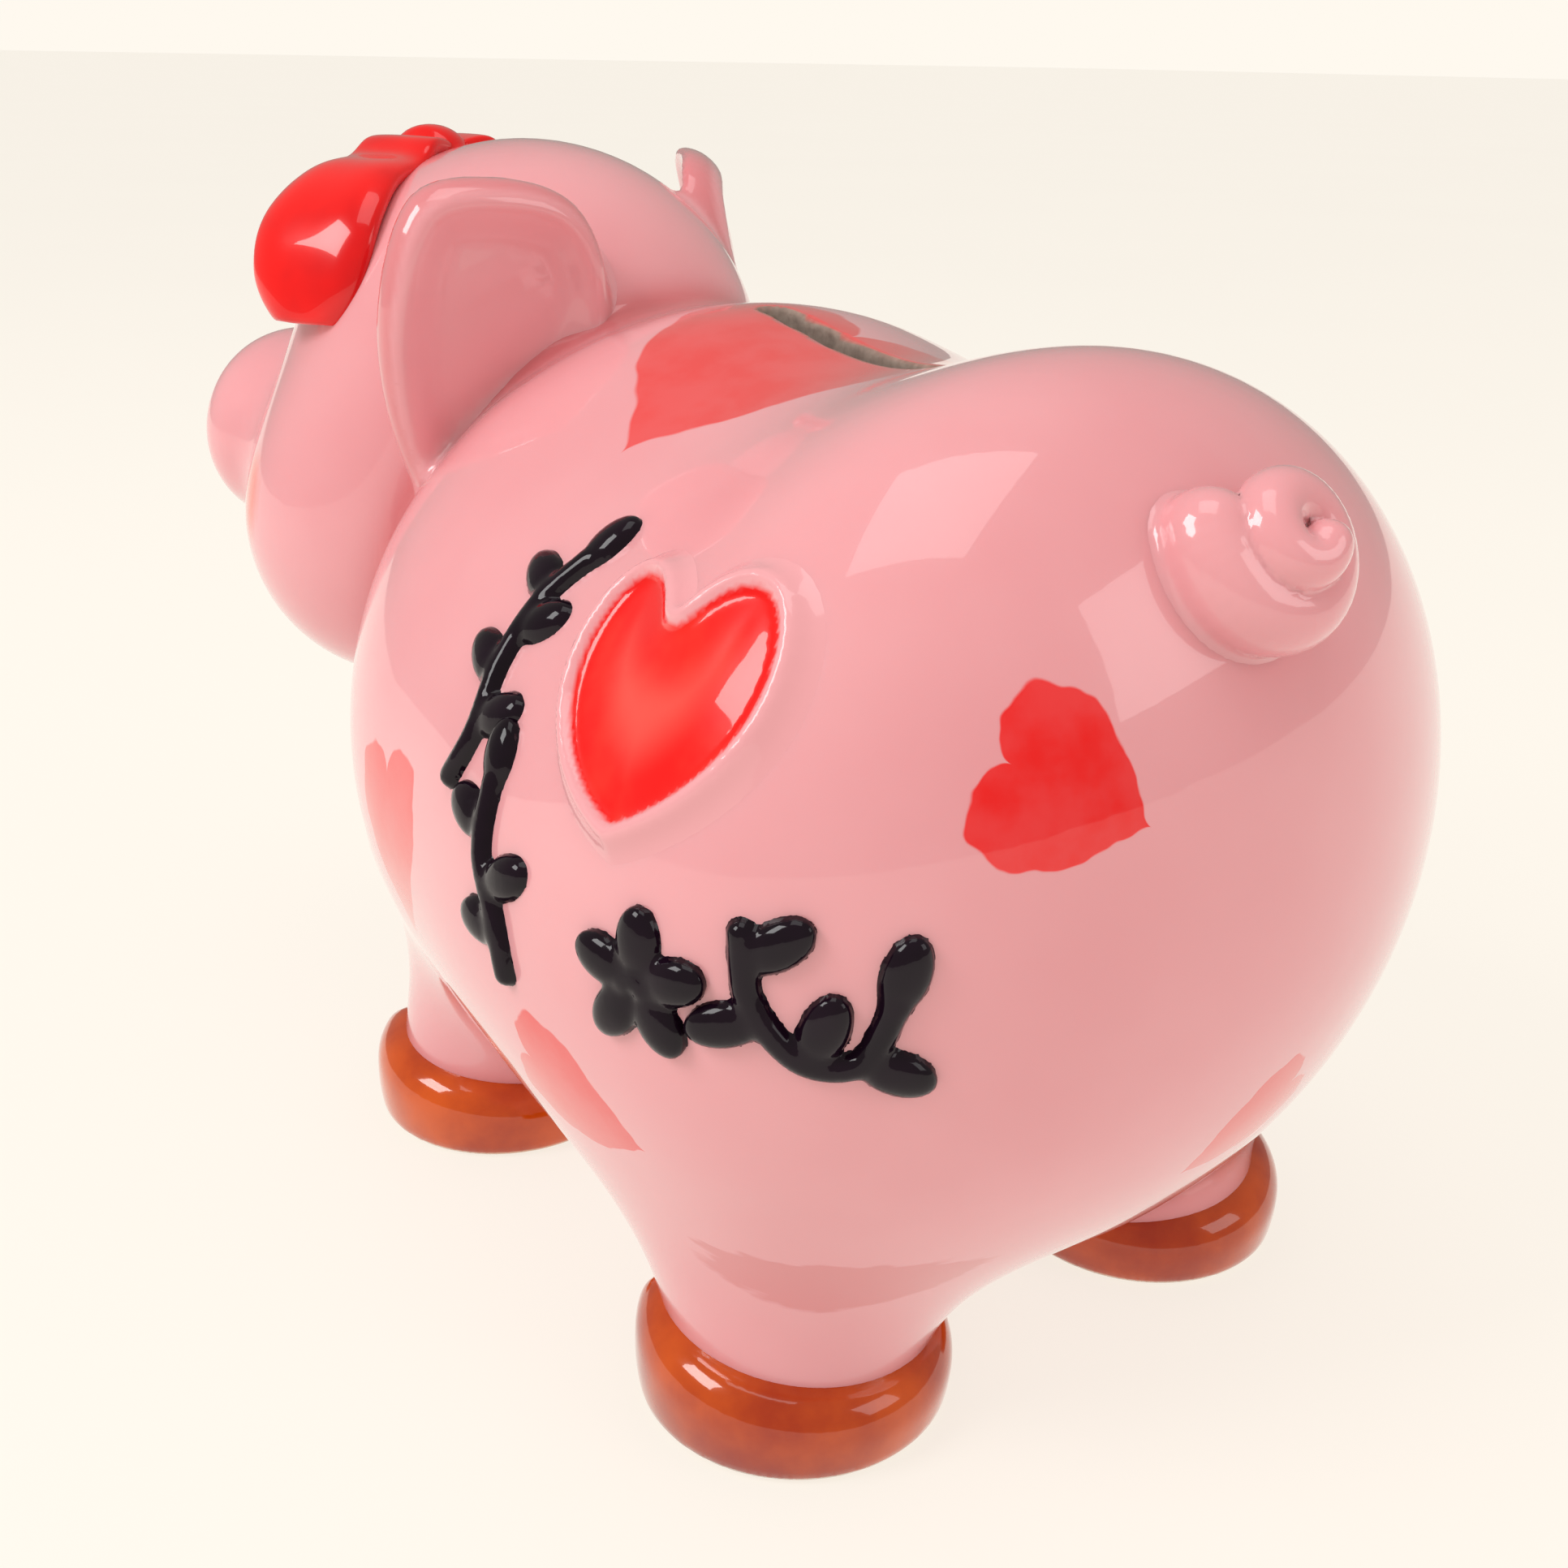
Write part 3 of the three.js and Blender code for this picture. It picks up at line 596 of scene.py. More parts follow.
# A painted reflection of the hoof on the glaze above it: direction from the body's middle, width,
# height, roll and strength.
PAINTED_REFLECTIONS = [((0.60, 0.60, -0.50), 36, 10, -6, 0.6)]

# In shares of a brush mark's or painted reflection's half size: where it ends, and how deep it reaches
# under the surface.
HEART_BRUSH = dict(lobe_power=0.6, lobe_rise=0.62, squat=1.1, waver=0.5, edge=(1.27, 1.19))
REFLECTION_EDGE = (1.45, 1.2)
BRUSH_DEPTH = (0.9, 0.8)

# How much of the second colour shows.
CLOUD_SHARE = 0.45
POOL_SHARE = 0.75
BLUSH_SHARE = 0.85
DISH_HIGHLIGHT_SHARE = 0.55
CLOUD_RANGE = (0.3, 0.7)


def heart_mask(glaze, direction, width, height, roll):
    """One brushed heart on the body, with an edge that wavers as a brush does."""
    point, axes = torso_seat(direction, roll)
    place = glaze.local(point, axes, (width / 2, height / 2, width / 2))
    x, y, z = glaze.spread(place)
    waver = glaze.noise(scale=2.2, detail=1.5, place=place).outputs["Fac"]
    side = glaze.calc("ABSOLUTE", x)
    lobe = glaze.calc("POWER", side, HEART_BRUSH["lobe_power"])
    lobe = glaze.calc("MULTIPLY", lobe, HEART_BRUSH["lobe_rise"])
    tall = glaze.calc("SUBTRACT", glaze.calc("MULTIPLY", y, HEART_BRUSH["squat"]), lobe)
    reach = glaze.calc("ADD", glaze.calc("MULTIPLY", x, x), glaze.calc("MULTIPLY", tall, tall))
    reach = glaze.calc("ADD", reach, glaze.calc("MULTIPLY", waver, HEART_BRUSH["waver"]))
    drawn = glaze.between(reach, *HEART_BRUSH["edge"])
    return glaze.calc("MULTIPLY", drawn, glaze.between(glaze.calc("ABSOLUTE", z), *BRUSH_DEPTH))


def painted_reflection_mask(glaze, direction, width, height, roll):
    """A painted reflection of the hoof in the glaze: a thin rose patch with a ragged edge."""
    point, axes = torso_seat(direction, roll)
    place = glaze.local(point, axes, (width / 2, height / 2, width / 2))
    x, y, z = glaze.spread(place)
    waver = glaze.noise(scale=3.0, detail=2.5, place=place).outputs["Fac"]
    reach = glaze.calc("ADD", glaze.calc("MULTIPLY", x, x), glaze.calc("MULTIPLY", y, y))
    reach = glaze.calc("ADD", reach, waver)
    drawn = glaze.between(reach, *REFLECTION_EDGE)
    return glaze.calc("MULTIPLY", drawn, glaze.between(glaze.calc("ABSOLUTE", z), *BRUSH_DEPTH))


def pink_glaze(name, painted=False, pooled=False):
    """Glossy pink over a pale body, cloudier and redder where it pools."""
    glaze = Glaze(name)
    clouds = glaze.between(glaze.noise(scale=22, detail=3).outputs["Fac"], *CLOUD_RANGE)
    base = glaze.mix(glaze.calc("MULTIPLY", clouds, CLOUD_SHARE), PINK, DEEP_PINK)
    if pooled:
        pool = glaze.calc("MULTIPLY", glaze.marked("pool"), POOL_SHARE)
        base = glaze.mix(pool, base, POOLED_PINK)
    if painted:
        brush = glaze.noise(scale=150, detail=4).outputs["Fac"]
        streaks = glaze.between(brush, low=0.35, high=0.75, start=0.9, end=1.0)
        for direction, width, height, roll, cover in PAINTED_HEARTS:
            mask = heart_mask(glaze, direction, width, height, roll)
            red = RED if cover == 1.0 else BRUSHED_RED
            share = glaze.calc("MULTIPLY", mask, glaze.calc("MULTIPLY", streaks, cover))
            base = glaze.mix(share, base, red)
        # Painted reflection: pale rose where the hoof is mirrored in the glaze.
        for direction, width, height, roll, cover in PAINTED_REFLECTIONS:
            mask = painted_reflection_mask(glaze, direction, width, height, roll)
            base = glaze.mix(glaze.calc("MULTIPLY", mask, cover), base, REFLECTED_ROSE)
        base = glaze.mix(glaze.calc("MULTIPLY", glaze.marked("blush"), BLUSH_SHARE), base, BLUSH)
        # Bare unglazed clay at the slot and inside the hollow, in colours darkened as painted shade.
        bare = glaze.marked("bare")
        grit = glaze.noise(scale=900, detail=4).outputs["Fac"]
        base = glaze.mix(bare, base, glaze.mix(grit, SHADED_BISQUE, SHADED_GRIT))
        rough = glaze.between(bare, low=0.3, high=0.7, start=0.22, end=0.85)
        coat = glaze.between(bare, low=0.3, high=0.7, start=1.0, end=0.0)
        glaze.links.new(rough, glaze.shader.inputs["Roughness"])
        glaze.links.new(coat, glaze.shader.inputs["Coat Weight"])
    glaze.paint(base)
    glaze.set("Subsurface Weight", 0.12)
    glaze.set("Subsurface Radius", (1.0, 0.35, 0.3))
    glaze.set("Subsurface Scale", 0.003)
    glaze.dimple(glaze.noise(scale=60, detail=2).outputs["Fac"], strength=0.08, distance=0.0006)
    return glaze.material


def medallion_glaze():
    """Red in the dish and pink on the bead around it, with a painted highlight of paler red in the
    middle of the dish.
    """
    glaze = Glaze("heart_dish_red", coat=0.7)
    clouds = glaze.noise(scale=120, detail=3).outputs["Fac"]
    red = glaze.mix(glaze.between(clouds, low=0.4, high=0.7), RED, DISH_RED)
    # Painted highlight: paler red towards the middle of the dish.
    red = glaze.mix(glaze.calc("MULTIPLY", glaze.marked("dish_highlight"), DISH_HIGHLIGHT_SHARE), red, DISH_HIGHLIGHT_RED)
    glaze.paint(glaze.mix(glaze.marked("dish"), PINK, red))
    glaze.dimple(glaze.noise(scale=90, detail=2).outputs["Fac"], strength=0.12, distance=0.0006)
    return glaze.material


def amber_glaze():
    """Brown glaze that runs from tan to deep russet over a pale foot."""
    glaze = Glaze("hoof_amber", roughness=0.15)
    clouds = glaze.between(glaze.noise(scale=55, detail=5).outputs["Fac"], low=0.3, high=0.72)
    glaze.paint(glaze.mix(glaze.marked("foot"), glaze.mix(clouds, RUSSET, TAN), BARE_FOOT))
    glaze.dimple(glaze.noise(scale=110, detail=3).outputs["Fac"], strength=0.15, distance=0.0005)
    return glaze.material


def red_glaze():
    """Clear red, a little darker in patches."""
    glaze = Glaze("bow_red", coat=0.7)
    clouds = glaze.between(glaze.noise(scale=70, detail=3).outputs["Fac"], *CLOUD_RANGE)
    glaze.paint(glaze.mix(clouds, BOW_SHADE, BOW_RED))
    glaze.dimple(glaze.noise(scale=90, detail=2).outputs["Fac"], strength=0.1, distance=0.0006)
    return glaze.material


def black_slip():
    """Thick black slip with a trace of plum."""
    glaze = Glaze("trail_black", roughness=0.12, coat=0.4, sheen=0.1)
    glaze.paint(glaze.mix(glaze.noise(scale=160, detail=3).outputs["Fac"], BLACK, PLUM_BLACK))
    glaze.dimple(glaze.noise(scale=260, detail=3).outputs["Fac"], strength=0.2, distance=0.0004)
    return glaze.material


def stopper_rubber():
    glaze = Glaze("stopper_rubber", roughness=0.62, coat=0.0)
    grain = glaze.noise(scale=700, detail=3).outputs["Fac"]
    glaze.paint(glaze.mix(grain, RUBBER, RUBBER_GREY))
    glaze.dimple(grain, strength=0.25, distance=0.0002)
    return glaze.material


def hand_over(piece, node, material, body="bank"):
    """The finished piece takes its node's place, rides on its body and gets its finish."""
    piece.data.materials.append(material)
    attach(piece, body)
    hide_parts(node)


# ---------------------------------------------------------------- body
HEART_POINT, HEART_AXES = torso_seat(HEART_TOWARD, HEART["roll"])
HEART_EDGE = heart_outline(HEART["width"], HEART["height"])


def heart_distance(points):
    """Signed distance to the heart's edge, negative inside. It is only rough away from the heart."""
    local = (points - HEART_POINT) @ HEART_AXES
    distance = np.linalg.norm(local, axis=1) - HEART["width"] / 3
    close = np.linalg.norm(local, axis=1) < HEART["width"]
    distance[close] = from_outline(local[close, :2], HEART_EDGE)
    return distance


def heart_pocket(points):
    """Room under the heart's dish, less deep than the wall."""
    return np.maximum(heart_distance(points) + HEART["rim"], -(torso(points) + HEART_POCKET))


def near_slot(places):
    return (slot_way(places) < SLOT_REGION["reach"]) & (places[:, 2] > SLOT_REGION["above"])


# How far the glaze fades out or pools, in mm from the edge that it follows.
BARE_WALL = (0.5, 1.1)
BARE_SLOT = (-0.9, -0.3)
POOLED_NECK = (1, 9)
POOLED_CREASE = (2, 9)
BLUSH_FADE = (2.2, 5.2)
BLUSH_SHAPE = [1, 1, 1.7]

body = modelled("glazed_body", shell, BODY_LOW, BODY_HIGH, BODY_FACES, near_slot)
body_places = places_of(body)
into_wall = outside(body_places)
in_neck = np.abs(torso(body_places) - head(body_places))
creased = np.maximum(torso(body_places), head(body_places))
bare_slot = ramp(-slot_way(body_places), *BARE_SLOT)
mark(body, "bare", np.maximum(ramp(-into_wall, *BARE_WALL), bare_slot))
mark(body, "pool", (1 - ramp(in_neck, *POOLED_NECK)) * (1 - ramp(creased, *POOLED_CREASE)))
mouth_corner = in_head(body_places) * [0, 1, 1] - MOUTH_CORNER
mouth_corner[:, 0] += np.abs(in_head(body_places)[:, 0])
mark(body, "blush", 1 - ramp(np.linalg.norm(mouth_corner / BLUSH_SHAPE, axis=1), *BLUSH_FADE))
pink_painted = pink_glaze("body_pink", painted=True, pooled=True)
pink_plain = pink_glaze("pink")
pink_ear = pink_glaze("ear_pink", pooled=True)
hand_over(body, "body_shell", pink_painted)


# ---------------------------------------------------------------- pieces luted onto it
def luted(piece, ground, soft):
    """A piece run into the surface that it stands on, and cut off inside the wall."""
    joined = blended(ground + SINK, piece, soft)
    return np.maximum(np.maximum(joined, piece - soft), -(ground + ROOT))


def casting_of(node, kind):
    """Where a node's piece is cast, as two corners, and the size of its faces."""
    room, pitch = CASTING[kind]
    low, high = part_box(node)
    return np.array(low) / MM - ORIGIN - room, np.array(high) / MM - ORIGIN + room, pitch


snout_seat = surface(head_local, SKULL_CENTRE - [0, 0, SNOUT["drop"]], (0, -1, 0))
SNOUT_FRONT = snout_seat[1] - SNOUT["proud"]


def snout_form(points):
    local = in_head(points)
    across = local[:, 0] * SNOUT["height"] / SNOUT["width"]
    rim = np.hypot(across, local[:, 2] - snout_seat[2]) - SNOUT["height"] / 2
    domed = SNOUT_DOME * (across**2 + (local[:, 2] - snout_seat[2]) ** 2)
    front = SNOUT_FRONT + domed - local[:, 1]
    back = local[:, 1] - (SNOUT_FRONT + SNOUT["deep"])
    disc = met(met(rim, front, 2 * SNOUT["edge"]), back, SNOUT["back_edge"])
    form = luted(disc, head(points), SNOUT["blend"])
    for side in (-1, 1):
        at = (side * NOSTRIL["spread"], SNOUT_FRONT, snout_seat[2])
        hole = ellipsoid(local, at, (NOSTRIL["width"], 2 * NOSTRIL["depth"], NOSTRIL["height"]))
        form = carved(form, hole, NOSTRIL["soft"])
    return form


snout = modelled("glazed_snout", snout_form, *casting_of("snout", "snout"))
hand_over(snout, "snout", pink_plain)

EAR_OUT = np.array([0.56, 0.81, -0.18])
EAR_OUT /= np.linalg.norm(EAR_OUT)
ear_up = np.array([-0.07, 0.26, 0.97])
ear_up -= (ear_up @ EAR_OUT) * EAR_OUT
ear_up /= np.linalg.norm(ear_up)
EAR_AXES = np.stack([np.cross(ear_up, EAR_OUT), ear_up, EAR_OUT], axis=1)
EAR_POINT = surface(head_local, SKULL_CENTRE, EAR_SEAT, EAR["thickness"] / 2)
half_wide, half_long = EAR["width"] / 2, EAR["length"] / 2
EAR_EDGE = smooth_line([
    (-0.1 * half_wide, -half_long), (0.5 * half_wide, -0.62 * half_long),
    (0.95 * half_wide, 0.0), (0.98 * half_wide, 0.55 * half_long),
    (0.55 * half_wide, 0.97 * half_long), (-0.2 * half_wide, 1.02 * half_long),
    (-0.86 * half_wide, 0.82 * half_long), (-half_wide, 0.2 * half_long),
    (-0.7 * half_wide, -0.5 * half_long),
], 6, closed=True)


def ear_places(points, side):
    """Points in the ear's own frame: across it, up it and out from the head."""
    local = in_head(points) * [side, 1, 1]
    return (local - EAR_POINT) @ EAR_AXES


def ear_form(side):
    def form(points):
        local = ear_places(points, side)
        edge = from_outline(local[:, :2], EAR_EDGE)
        curl = local[:, 0] ** 2 / (2 * EAR["wrap"][side])
        curl += np.maximum(local[:, 1], 0) ** 2 / (2 * EAR["wrap"][side])
        dish = EAR["dish"] * ramp(-edge, EAR_DISH["start"], EAR["rim"] + EAR_DISH["past_rim"])
        top = local[:, 2] + curl - EAR["thickness"] / 2 + dish
        bottom = -(local[:, 2] + curl) - EAR["thickness"] / 2
        leaf = met(met(top, bottom, EAR_EDGE_SOFT["faces"]), edge, EAR_EDGE_SOFT["rim"])
        return luted(leaf, np.minimum(head(points), torso(points) + GAP), EAR["blend"])
    return form


EAR_POOL = {"share": 0.6, "in": 0.2, "fade": (0.2, 1.0)}

for side_name, side in (("left", 1), ("right", -1)):
    node = f"ear_{side_name}"
    ear = modelled(f"glazed_{node}", ear_form(side), *casting_of(node, "ear"))
    edge = from_outline(ear_places(places_of(ear), side)[:, :2], EAR_EDGE)
    mark(ear, "pool", EAR_POOL["share"] * (1 - ramp(np.abs(edge + EAR_POOL["in"]), *EAR_POOL["fade"])))
    hand_over(ear, node, pink_ear)

TAIL_POINT, TAIL_AXES = torso_seat((0, RUMP_END, TAIL["up"]))


def tail_line(share):
    turn = math.radians(TAIL["start"]) + share * TAIL["turns"] * 2 * math.pi
    radius = TAIL["coil"] * (1 - TAIL["inward"] * share)
    height = TAIL["seat"] + TAIL["rise"] * share
    return np.array([radius * math.cos(turn), radius * math.sin(turn), height])


def tail_form(points):
    local = (points - TAIL_POINT) @ TAIL_AXES
    form = np.full(len(points), FAR_AWAY)
    for share in np.linspace(0, 1, TAIL_BEADS):
        thick = TAIL["root"] + (TAIL["tip"] - TAIL["root"]) * share
        form = np.minimum(form, np.linalg.norm(local - tail_line(share), axis=1) - thick)
    return luted(form, torso(points), TAIL_BLEND)


tail = modelled("glazed_tail", tail_form, *casting_of("tail", "tail"))
hand_over(tail, "tail", pink_plain)


def medallion_form(points):
    distance = heart_distance(points)
    bead = HEART["proud"] * np.exp(-(((distance + HEART["rim"]) / HEART["bead"]) ** 2))
    dish = HEART["dish"] * ramp(-distance, HEART["rim"], HEART_DISH_RUN)
    raised = torso(points) - bead - dish
    return luted(met(raised, distance, HEART_EDGE_SOFT), torso(points), HEART_BLEND)


medallion = modelled("glazed_heart", medallion_form, *casting_of("heart_medallion", "heart"))
DISH_STARTS = (HEART["rim"] + 0.9, HEART["rim"] + 1.3)
# The painted highlight fades in over this span, in mm in from the heart's edge.
DISH_HIGHLIGHT_FADE = (6, 12)
heart_in = -heart_distance(places_of(medallion))
mark(medallion, "dish", ramp(heart_in, *DISH_STARTS))
# A painted highlight: paler red towards the middle of the dish.
mark(medallion, "dish_highlight", ramp(heart_in, *DISH_HIGHLIGHT_FADE))
hand_over(medallion, "heart_medallion", medallion_glaze())


# ---------------------------------------------------------------- trailed vines
# Each vine's direction from the body's middle, its stem, and the place and turn of each leaf.
VINES = {
    "vine_upper": ((0.93, -0.06, 0.52), [(1, 14), (-1.5, 8), (-2, 0), (-1, -8), (-3, -14)],
                   [(1, 14, 70), (-1, 9, 150), (-2, 4, 35), (-2, -2, 150), (-1, -7, 30)]),
    "vine_lower_front": ((0.96, 0.12, 0.15), [(-5, 10), (-4, 3), (0, -3), (2, -9)],
                         [(-5, 10, 100), (-5, 5, 160), (-2, 0, 30), (1, -5, 175)]),
    "vine_lower_rear": ((0.73, 0.68, 0.12), [(-7, 8), (-6, 1), (-1, -5), (5, -5), (8, 1)],
                        [(8, 1, 75), (5, -5, -20), (0, -5, 70), (-5, -1, 195), (-6.5, 5, 35)]),
}


def trail_form(direction, stem, leaves, drop):
    """Beads and leaves of thick slip laid on the body."""
    point, axes = torso_seat(direction)

    def on_body(x, y):
        start = point + axes @ np.array([x, y, -TRAIL["under"]])
        return surface(torso, start, axes[:, 2])

    beads = [on_body(x, y) for x, y in smooth_line(stem, 14)]
    seats = []
    for x, y, turn in leaves:
        at = on_body(x, y)
        leaf_axes = seat_on(torso, at, turn)
        seats.append((at + leaf_axes[:, 0] * drop[0] * TRAIL["overhang"], leaf_axes))

    def form(points):
        thick = np.full(len(points), FAR_AWAY)
        for bead in beads:
            thick = np.minimum(thick, np.linalg.norm(points - bead, axis=1) - TRAIL["bead"])
        for at, leaf_axes in seats:
            leaf = ellipsoid((points - at) @ leaf_axes, (0, 0, 0), 2 * np.array(drop))
            thick = blended(thick, leaf, TRAIL_BLEND["leaf"])
        return luted(thick, torso(points), TRAIL_BLEND["body"])
    return form


slip = black_slip()
for node, (direction, stem, leaves) in VINES.items():
    vine = modelled(f"slip_{node}", trail_form(direction, stem, leaves, TRAIL["leaf"]),
                    *casting_of(node, "vine"))
    hand_over(vine, node, slip)

BLOSSOM_TOWARD = (0.88, 0.46, 0.12)
BLOSSOM_HEART = [(-1, 0), (0, 0.5), (1, 0)]
PETAL_TURNS = range(90, 450, 72)
petals = [(math.cos(math.radians(turn)), math.sin(math.radians(turn)), turn) for turn in PETAL_TURNS]
blossom_form = trail_form(BLOSSOM_TOWARD, BLOSSOM_HEART, petals, TRAIL["petal"])
blossom = modelled("slip_blossom", blossom_form, *casting_of("blossom", "blossom"))
hand_over(blossom, "blossom", slip)


# ---------------------------------------------------------------- hooves
def hoof_form(foot):
    side, track, y, _ = foot
    turn = np.array(Matrix.Rotation(side * TOE_OUT, 3, "Z"))

    def form(points):
        local = (points - [side * track / 2, y, 0]) @ turn
        height = local[:, 2]
        bulge = HOOF_BULGE["proud"] - HOOF_BULGE["falloff"] * (height - HOOF_BULGE["height"]) ** 2
        wall = np.hypot(local[:, 0], local[:, 1]) - HOOF["radius"] - bulge + HOOF_BULGE["proud"]
        rise = (HOOF["toe"] - HOOF["heel"]) / (2 * HOOF["radius"])
        lid = height - (HOOF["toe"] + HOOF["heel"]) / 2 + rise * local[:, 1]
        block = met(met(wall, lid, HOOF_EDGE["top"]), -height, HOOF_EDGE["sole"])
        cleft = ellipsoid(local, (0, -HOOF["radius"], HOOF["toe"] * 0.7),
                          (HOOF["cleft"], 2 * HOOF["cleft_depth"], 2.2 * HOOF["toe"]))
        return carved(block, cleft, HOOF_EDGE["cleft"])
    return form


amber = amber_glaze()
for foot_name, foot in FEET.items():
    node = f"hoof_{foot_name}"
    hoof = modelled(f"glazed_{node}", hoof_form(foot), *casting_of(node, "hoof"))
    mark(hoof, "foot", 1 - ramp(places_of(hoof)[:, 2], 0.4, 1.1))
    hand_over(hoof, node, amber)


# ---------------------------------------------------------------- bow
red = red_glaze()
BOW_CENTRE = surface(head_local, SKULL_CENTRE - [0, BOW["forward"], 0], (0, 0, 1))


def crown(degrees, above):
    """A place above the skull, so many degrees down from its crown."""
    start = np.array([0, BOW_CENTRE[1], SKULL_HEIGHT])
    aim = (math.sin(math.radians(degrees)), 0, math.cos(math.radians(degrees)))
    return surface(head_local, start, aim, above)


def bow_loop(side_name, side):
    """A ribbon from the knot to the side of the head, with a scalloped edge and a rounded end."""
    arch = smooth_line(BOW_ARCH, BOW_STEPS["along"])
    work = bmesh.new()
    bmesh.ops.create_grid(work, x_segments=len(arch) - 1, y_segments=BOW_STEPS["across"], size=1)
    for v in work.verts:
        along = round((v.co.x + 1) / 2 * (len(arch) - 1))
        width = v.co.y
        degrees, above = arch[along]
        widening = ramp(np.array([degrees]), 0, BOW["widest"])[0]
        half = (BOW["waist"] + (BOW["depth"] - BOW["waist"]) * widening) / 2
        half += BOW["scallop"] * math.sin(degrees / BOW["scallop_turn"])
        closing = max(0.0, (degrees - BOW_END["start"]) / BOW_END["run"])
        half *= math.sqrt(max(1 - closing**2, BOW_END["least"]))
        domed = above - BOW_DOME * width**4 * widening
        at = crown(degrees, max(domed, BOW_CLEAR)) + [0, width * half, 0]
        v.co = Vector((out_of_head([at * [side, 1, 1]])[0] + ORIGIN) * MM)
    bmesh.ops.recalc_face_normals(work, faces=work.faces)
    mesh = bpy.data.meshes.new(f"red_bow_loop_{side_name}")
    work.to_mesh(mesh)
    work.free()
    loop = finished(f"red_bow_loop_{side_name}", mesh)
    middle = mesh.polygons[len(mesh.polygons) // 2]
    outwards = Vector(middle.normal).z > 0
    thick = loop.modifiers.new("ribbon_thickness", "SOLIDIFY")
    thick.thickness = BOW["band"] * MM
    thick.offset = -1 if outwards else 1
    rounded = loop.modifiers.new("rounded", "SUBSURF")
    rounded.levels = 2
    rounded.render_levels = 2
    hand_over(loop, f"bow_loop_{side_name}", red)


for side_name, side in (("left", 1), ("right", -1)):
    bow_loop(side_name, side)


def knot_form(points):
    local = in_head(points)
    centre = BOW_CENTRE + [0, 0, KNOT[2] / 8]
    knot = ellipsoid(local, centre, KNOT)
    for side in (-1, 1):
        at = centre + [side * KNOT_GROOVE["spread"], 0, KNOT_GROOVE["up"]]
        groove = ellipsoid(local, at, KNOT_GROOVE["size"])
        knot = carved(knot, groove, KNOT_GROOVE["soft"])
    return luted(knot, head(points), KNOT_BLEND)


knot = modelled("red_bow_knot", knot_form, *casting_of("bow_knot", "knot"))
hand_over(knot, "bow_knot", red)


# ---------------------------------------------------------------- eyes
def eye_form(node):
    target = np.array(middle_of(node)) - ORIGIN
    inside_head = out_of_head([SKULL_CENTRE])[0]
    point = surface(head, inside_head, target - inside_head)
    axes = seat_on(head, point)

    def form(points):
        local = (points - point) @ axes
        return luted(ellipsoid(local, (0, 0, -EYE["sunk"]), EYE["size"]), head(points), EYE["blend"])
    return form


for side_name in ("left", "right"):
    node = f"eye_{side_name}"
    eye = modelled(f"slip_{node}", eye_form(node), *casting_of(node, "eye"))
    hand_over(eye, node, slip)


# ---------------------------------------------------------------- stopper
def stopper():
    """A flanged plug, hollow from below, spun from its half section."""
    flange, thick, plug = STOPPER["flange"], STOPPER["thick"], STOPPER["plug"]
    wall, bore = STOPPER["hole"] - GAP, STOPPER["bore"]
    base = stopper_low
    top = FLANGE_SEAT + plug
    section = [(bore, base), (flange, base), (flange, base + thick), (wall, base + thick), (wall, top),
               (0, top), (0, top - STOPPER["cap"]), (bore, top - STOPPER["cap"])]
    work = bmesh.new()
    at = STOPPER_AT + ORIGIN
    points = [work.verts.new(((at[0] + r) * MM, at[1] * MM, z * MM)) for r, z in section]
    for a, b in zip(points, points[1:] + points[:1]):
        if not a.co.x == b.co.x == at[0] * MM:
            work.edges.new((a, b))
    bmesh.ops.spin(work, geom=work.verts[:] + work.edges[:], axis=(0, 0, 1), angle=2 * math.pi,
                   cent=(at[0] * MM, at[1] * MM, 0), steps=64, use_merge=True)
    bmesh.ops.remove_doubles(work, verts=work.verts, dist=1e-6)
    bmesh.ops.recalc_face_normals(work, faces=work.faces)
    mesh = bpy.data.meshes.new("rubber_stopper")
    work.to_mesh(mesh)
    work.free()
    plug_piece = finished("rubber_stopper", mesh)
    bevel = plug_piece.modifiers.new("soft_edges", "BEVEL")
    bevel.width = STOPPER_EDGE * MM
    bevel.segments = 3
    bevel.limit_method = "ANGLE"
    hand_over(plug_piece, "stopper", stopper_rubber(), "stopper")


stopper()


# ---------------------------------------------------------------- floor, light and camera
FLOOR_GLOW = 0.80
FLOOR_HALF = 40
EVEN_LIGHT = 0.66
MIRRORED_LIGHT = 0.34
LIT_PLACE = (0, 0.02, 0.07)
# Name, place in metres, side in metres and watts.
SOFTBOXES = [
    ("window", (0.75, -0.15, 0.75), 0.4, 4.4),
    ("fill_right", (-0.5, 0.95, 0.6), 0.5, 1.4),
    ("overhead", (0.1, 0.1, 1.1), 0.6, 1.9),
]


def lay_floor():
    work = bmesh.new()
    bmesh.ops.create_grid(work, x_segments=1, y_segments=1, size=FLOOR_HALF)
    mesh = bpy.data.meshes.new("floor")
    work.to_mesh(mesh)
    work.free()
    floor = bpy.data.objects.new("floor", mesh)
    bpy.context.scene.collection.objects.link(floor)
    paper = Glaze("pale_paper", roughness=0.9, coat=0.0)
    grain = paper.noise(scale=3, detail=2).outputs["Fac"]
    paper.paint(paper.mix(grain, FLOOR, FLOOR_GRAIN))
    paper.set("Emission Color", PAPER)
    paper.set("Emission Strength", FLOOR_GLOW)
    mesh.materials.append(paper.material)


def softbox(name, place, side, watts):
    lamp = bpy.data.lights.new(name, "AREA")
    lamp.shape = "RECTANGLE"
    lamp.size = side
    lamp.size_y = side
    lamp.energy = watts
    lamp_object = bpy.data.objects.new(name, lamp)
    bpy.context.scene.collection.objects.link(lamp_object)
    lamp_object.location = place
    aim = Vector(LIT_PLACE) - Vector(place)
    lamp_object.rotation_euler = aim.to_track_quat("-Z", "Y").to_euler()


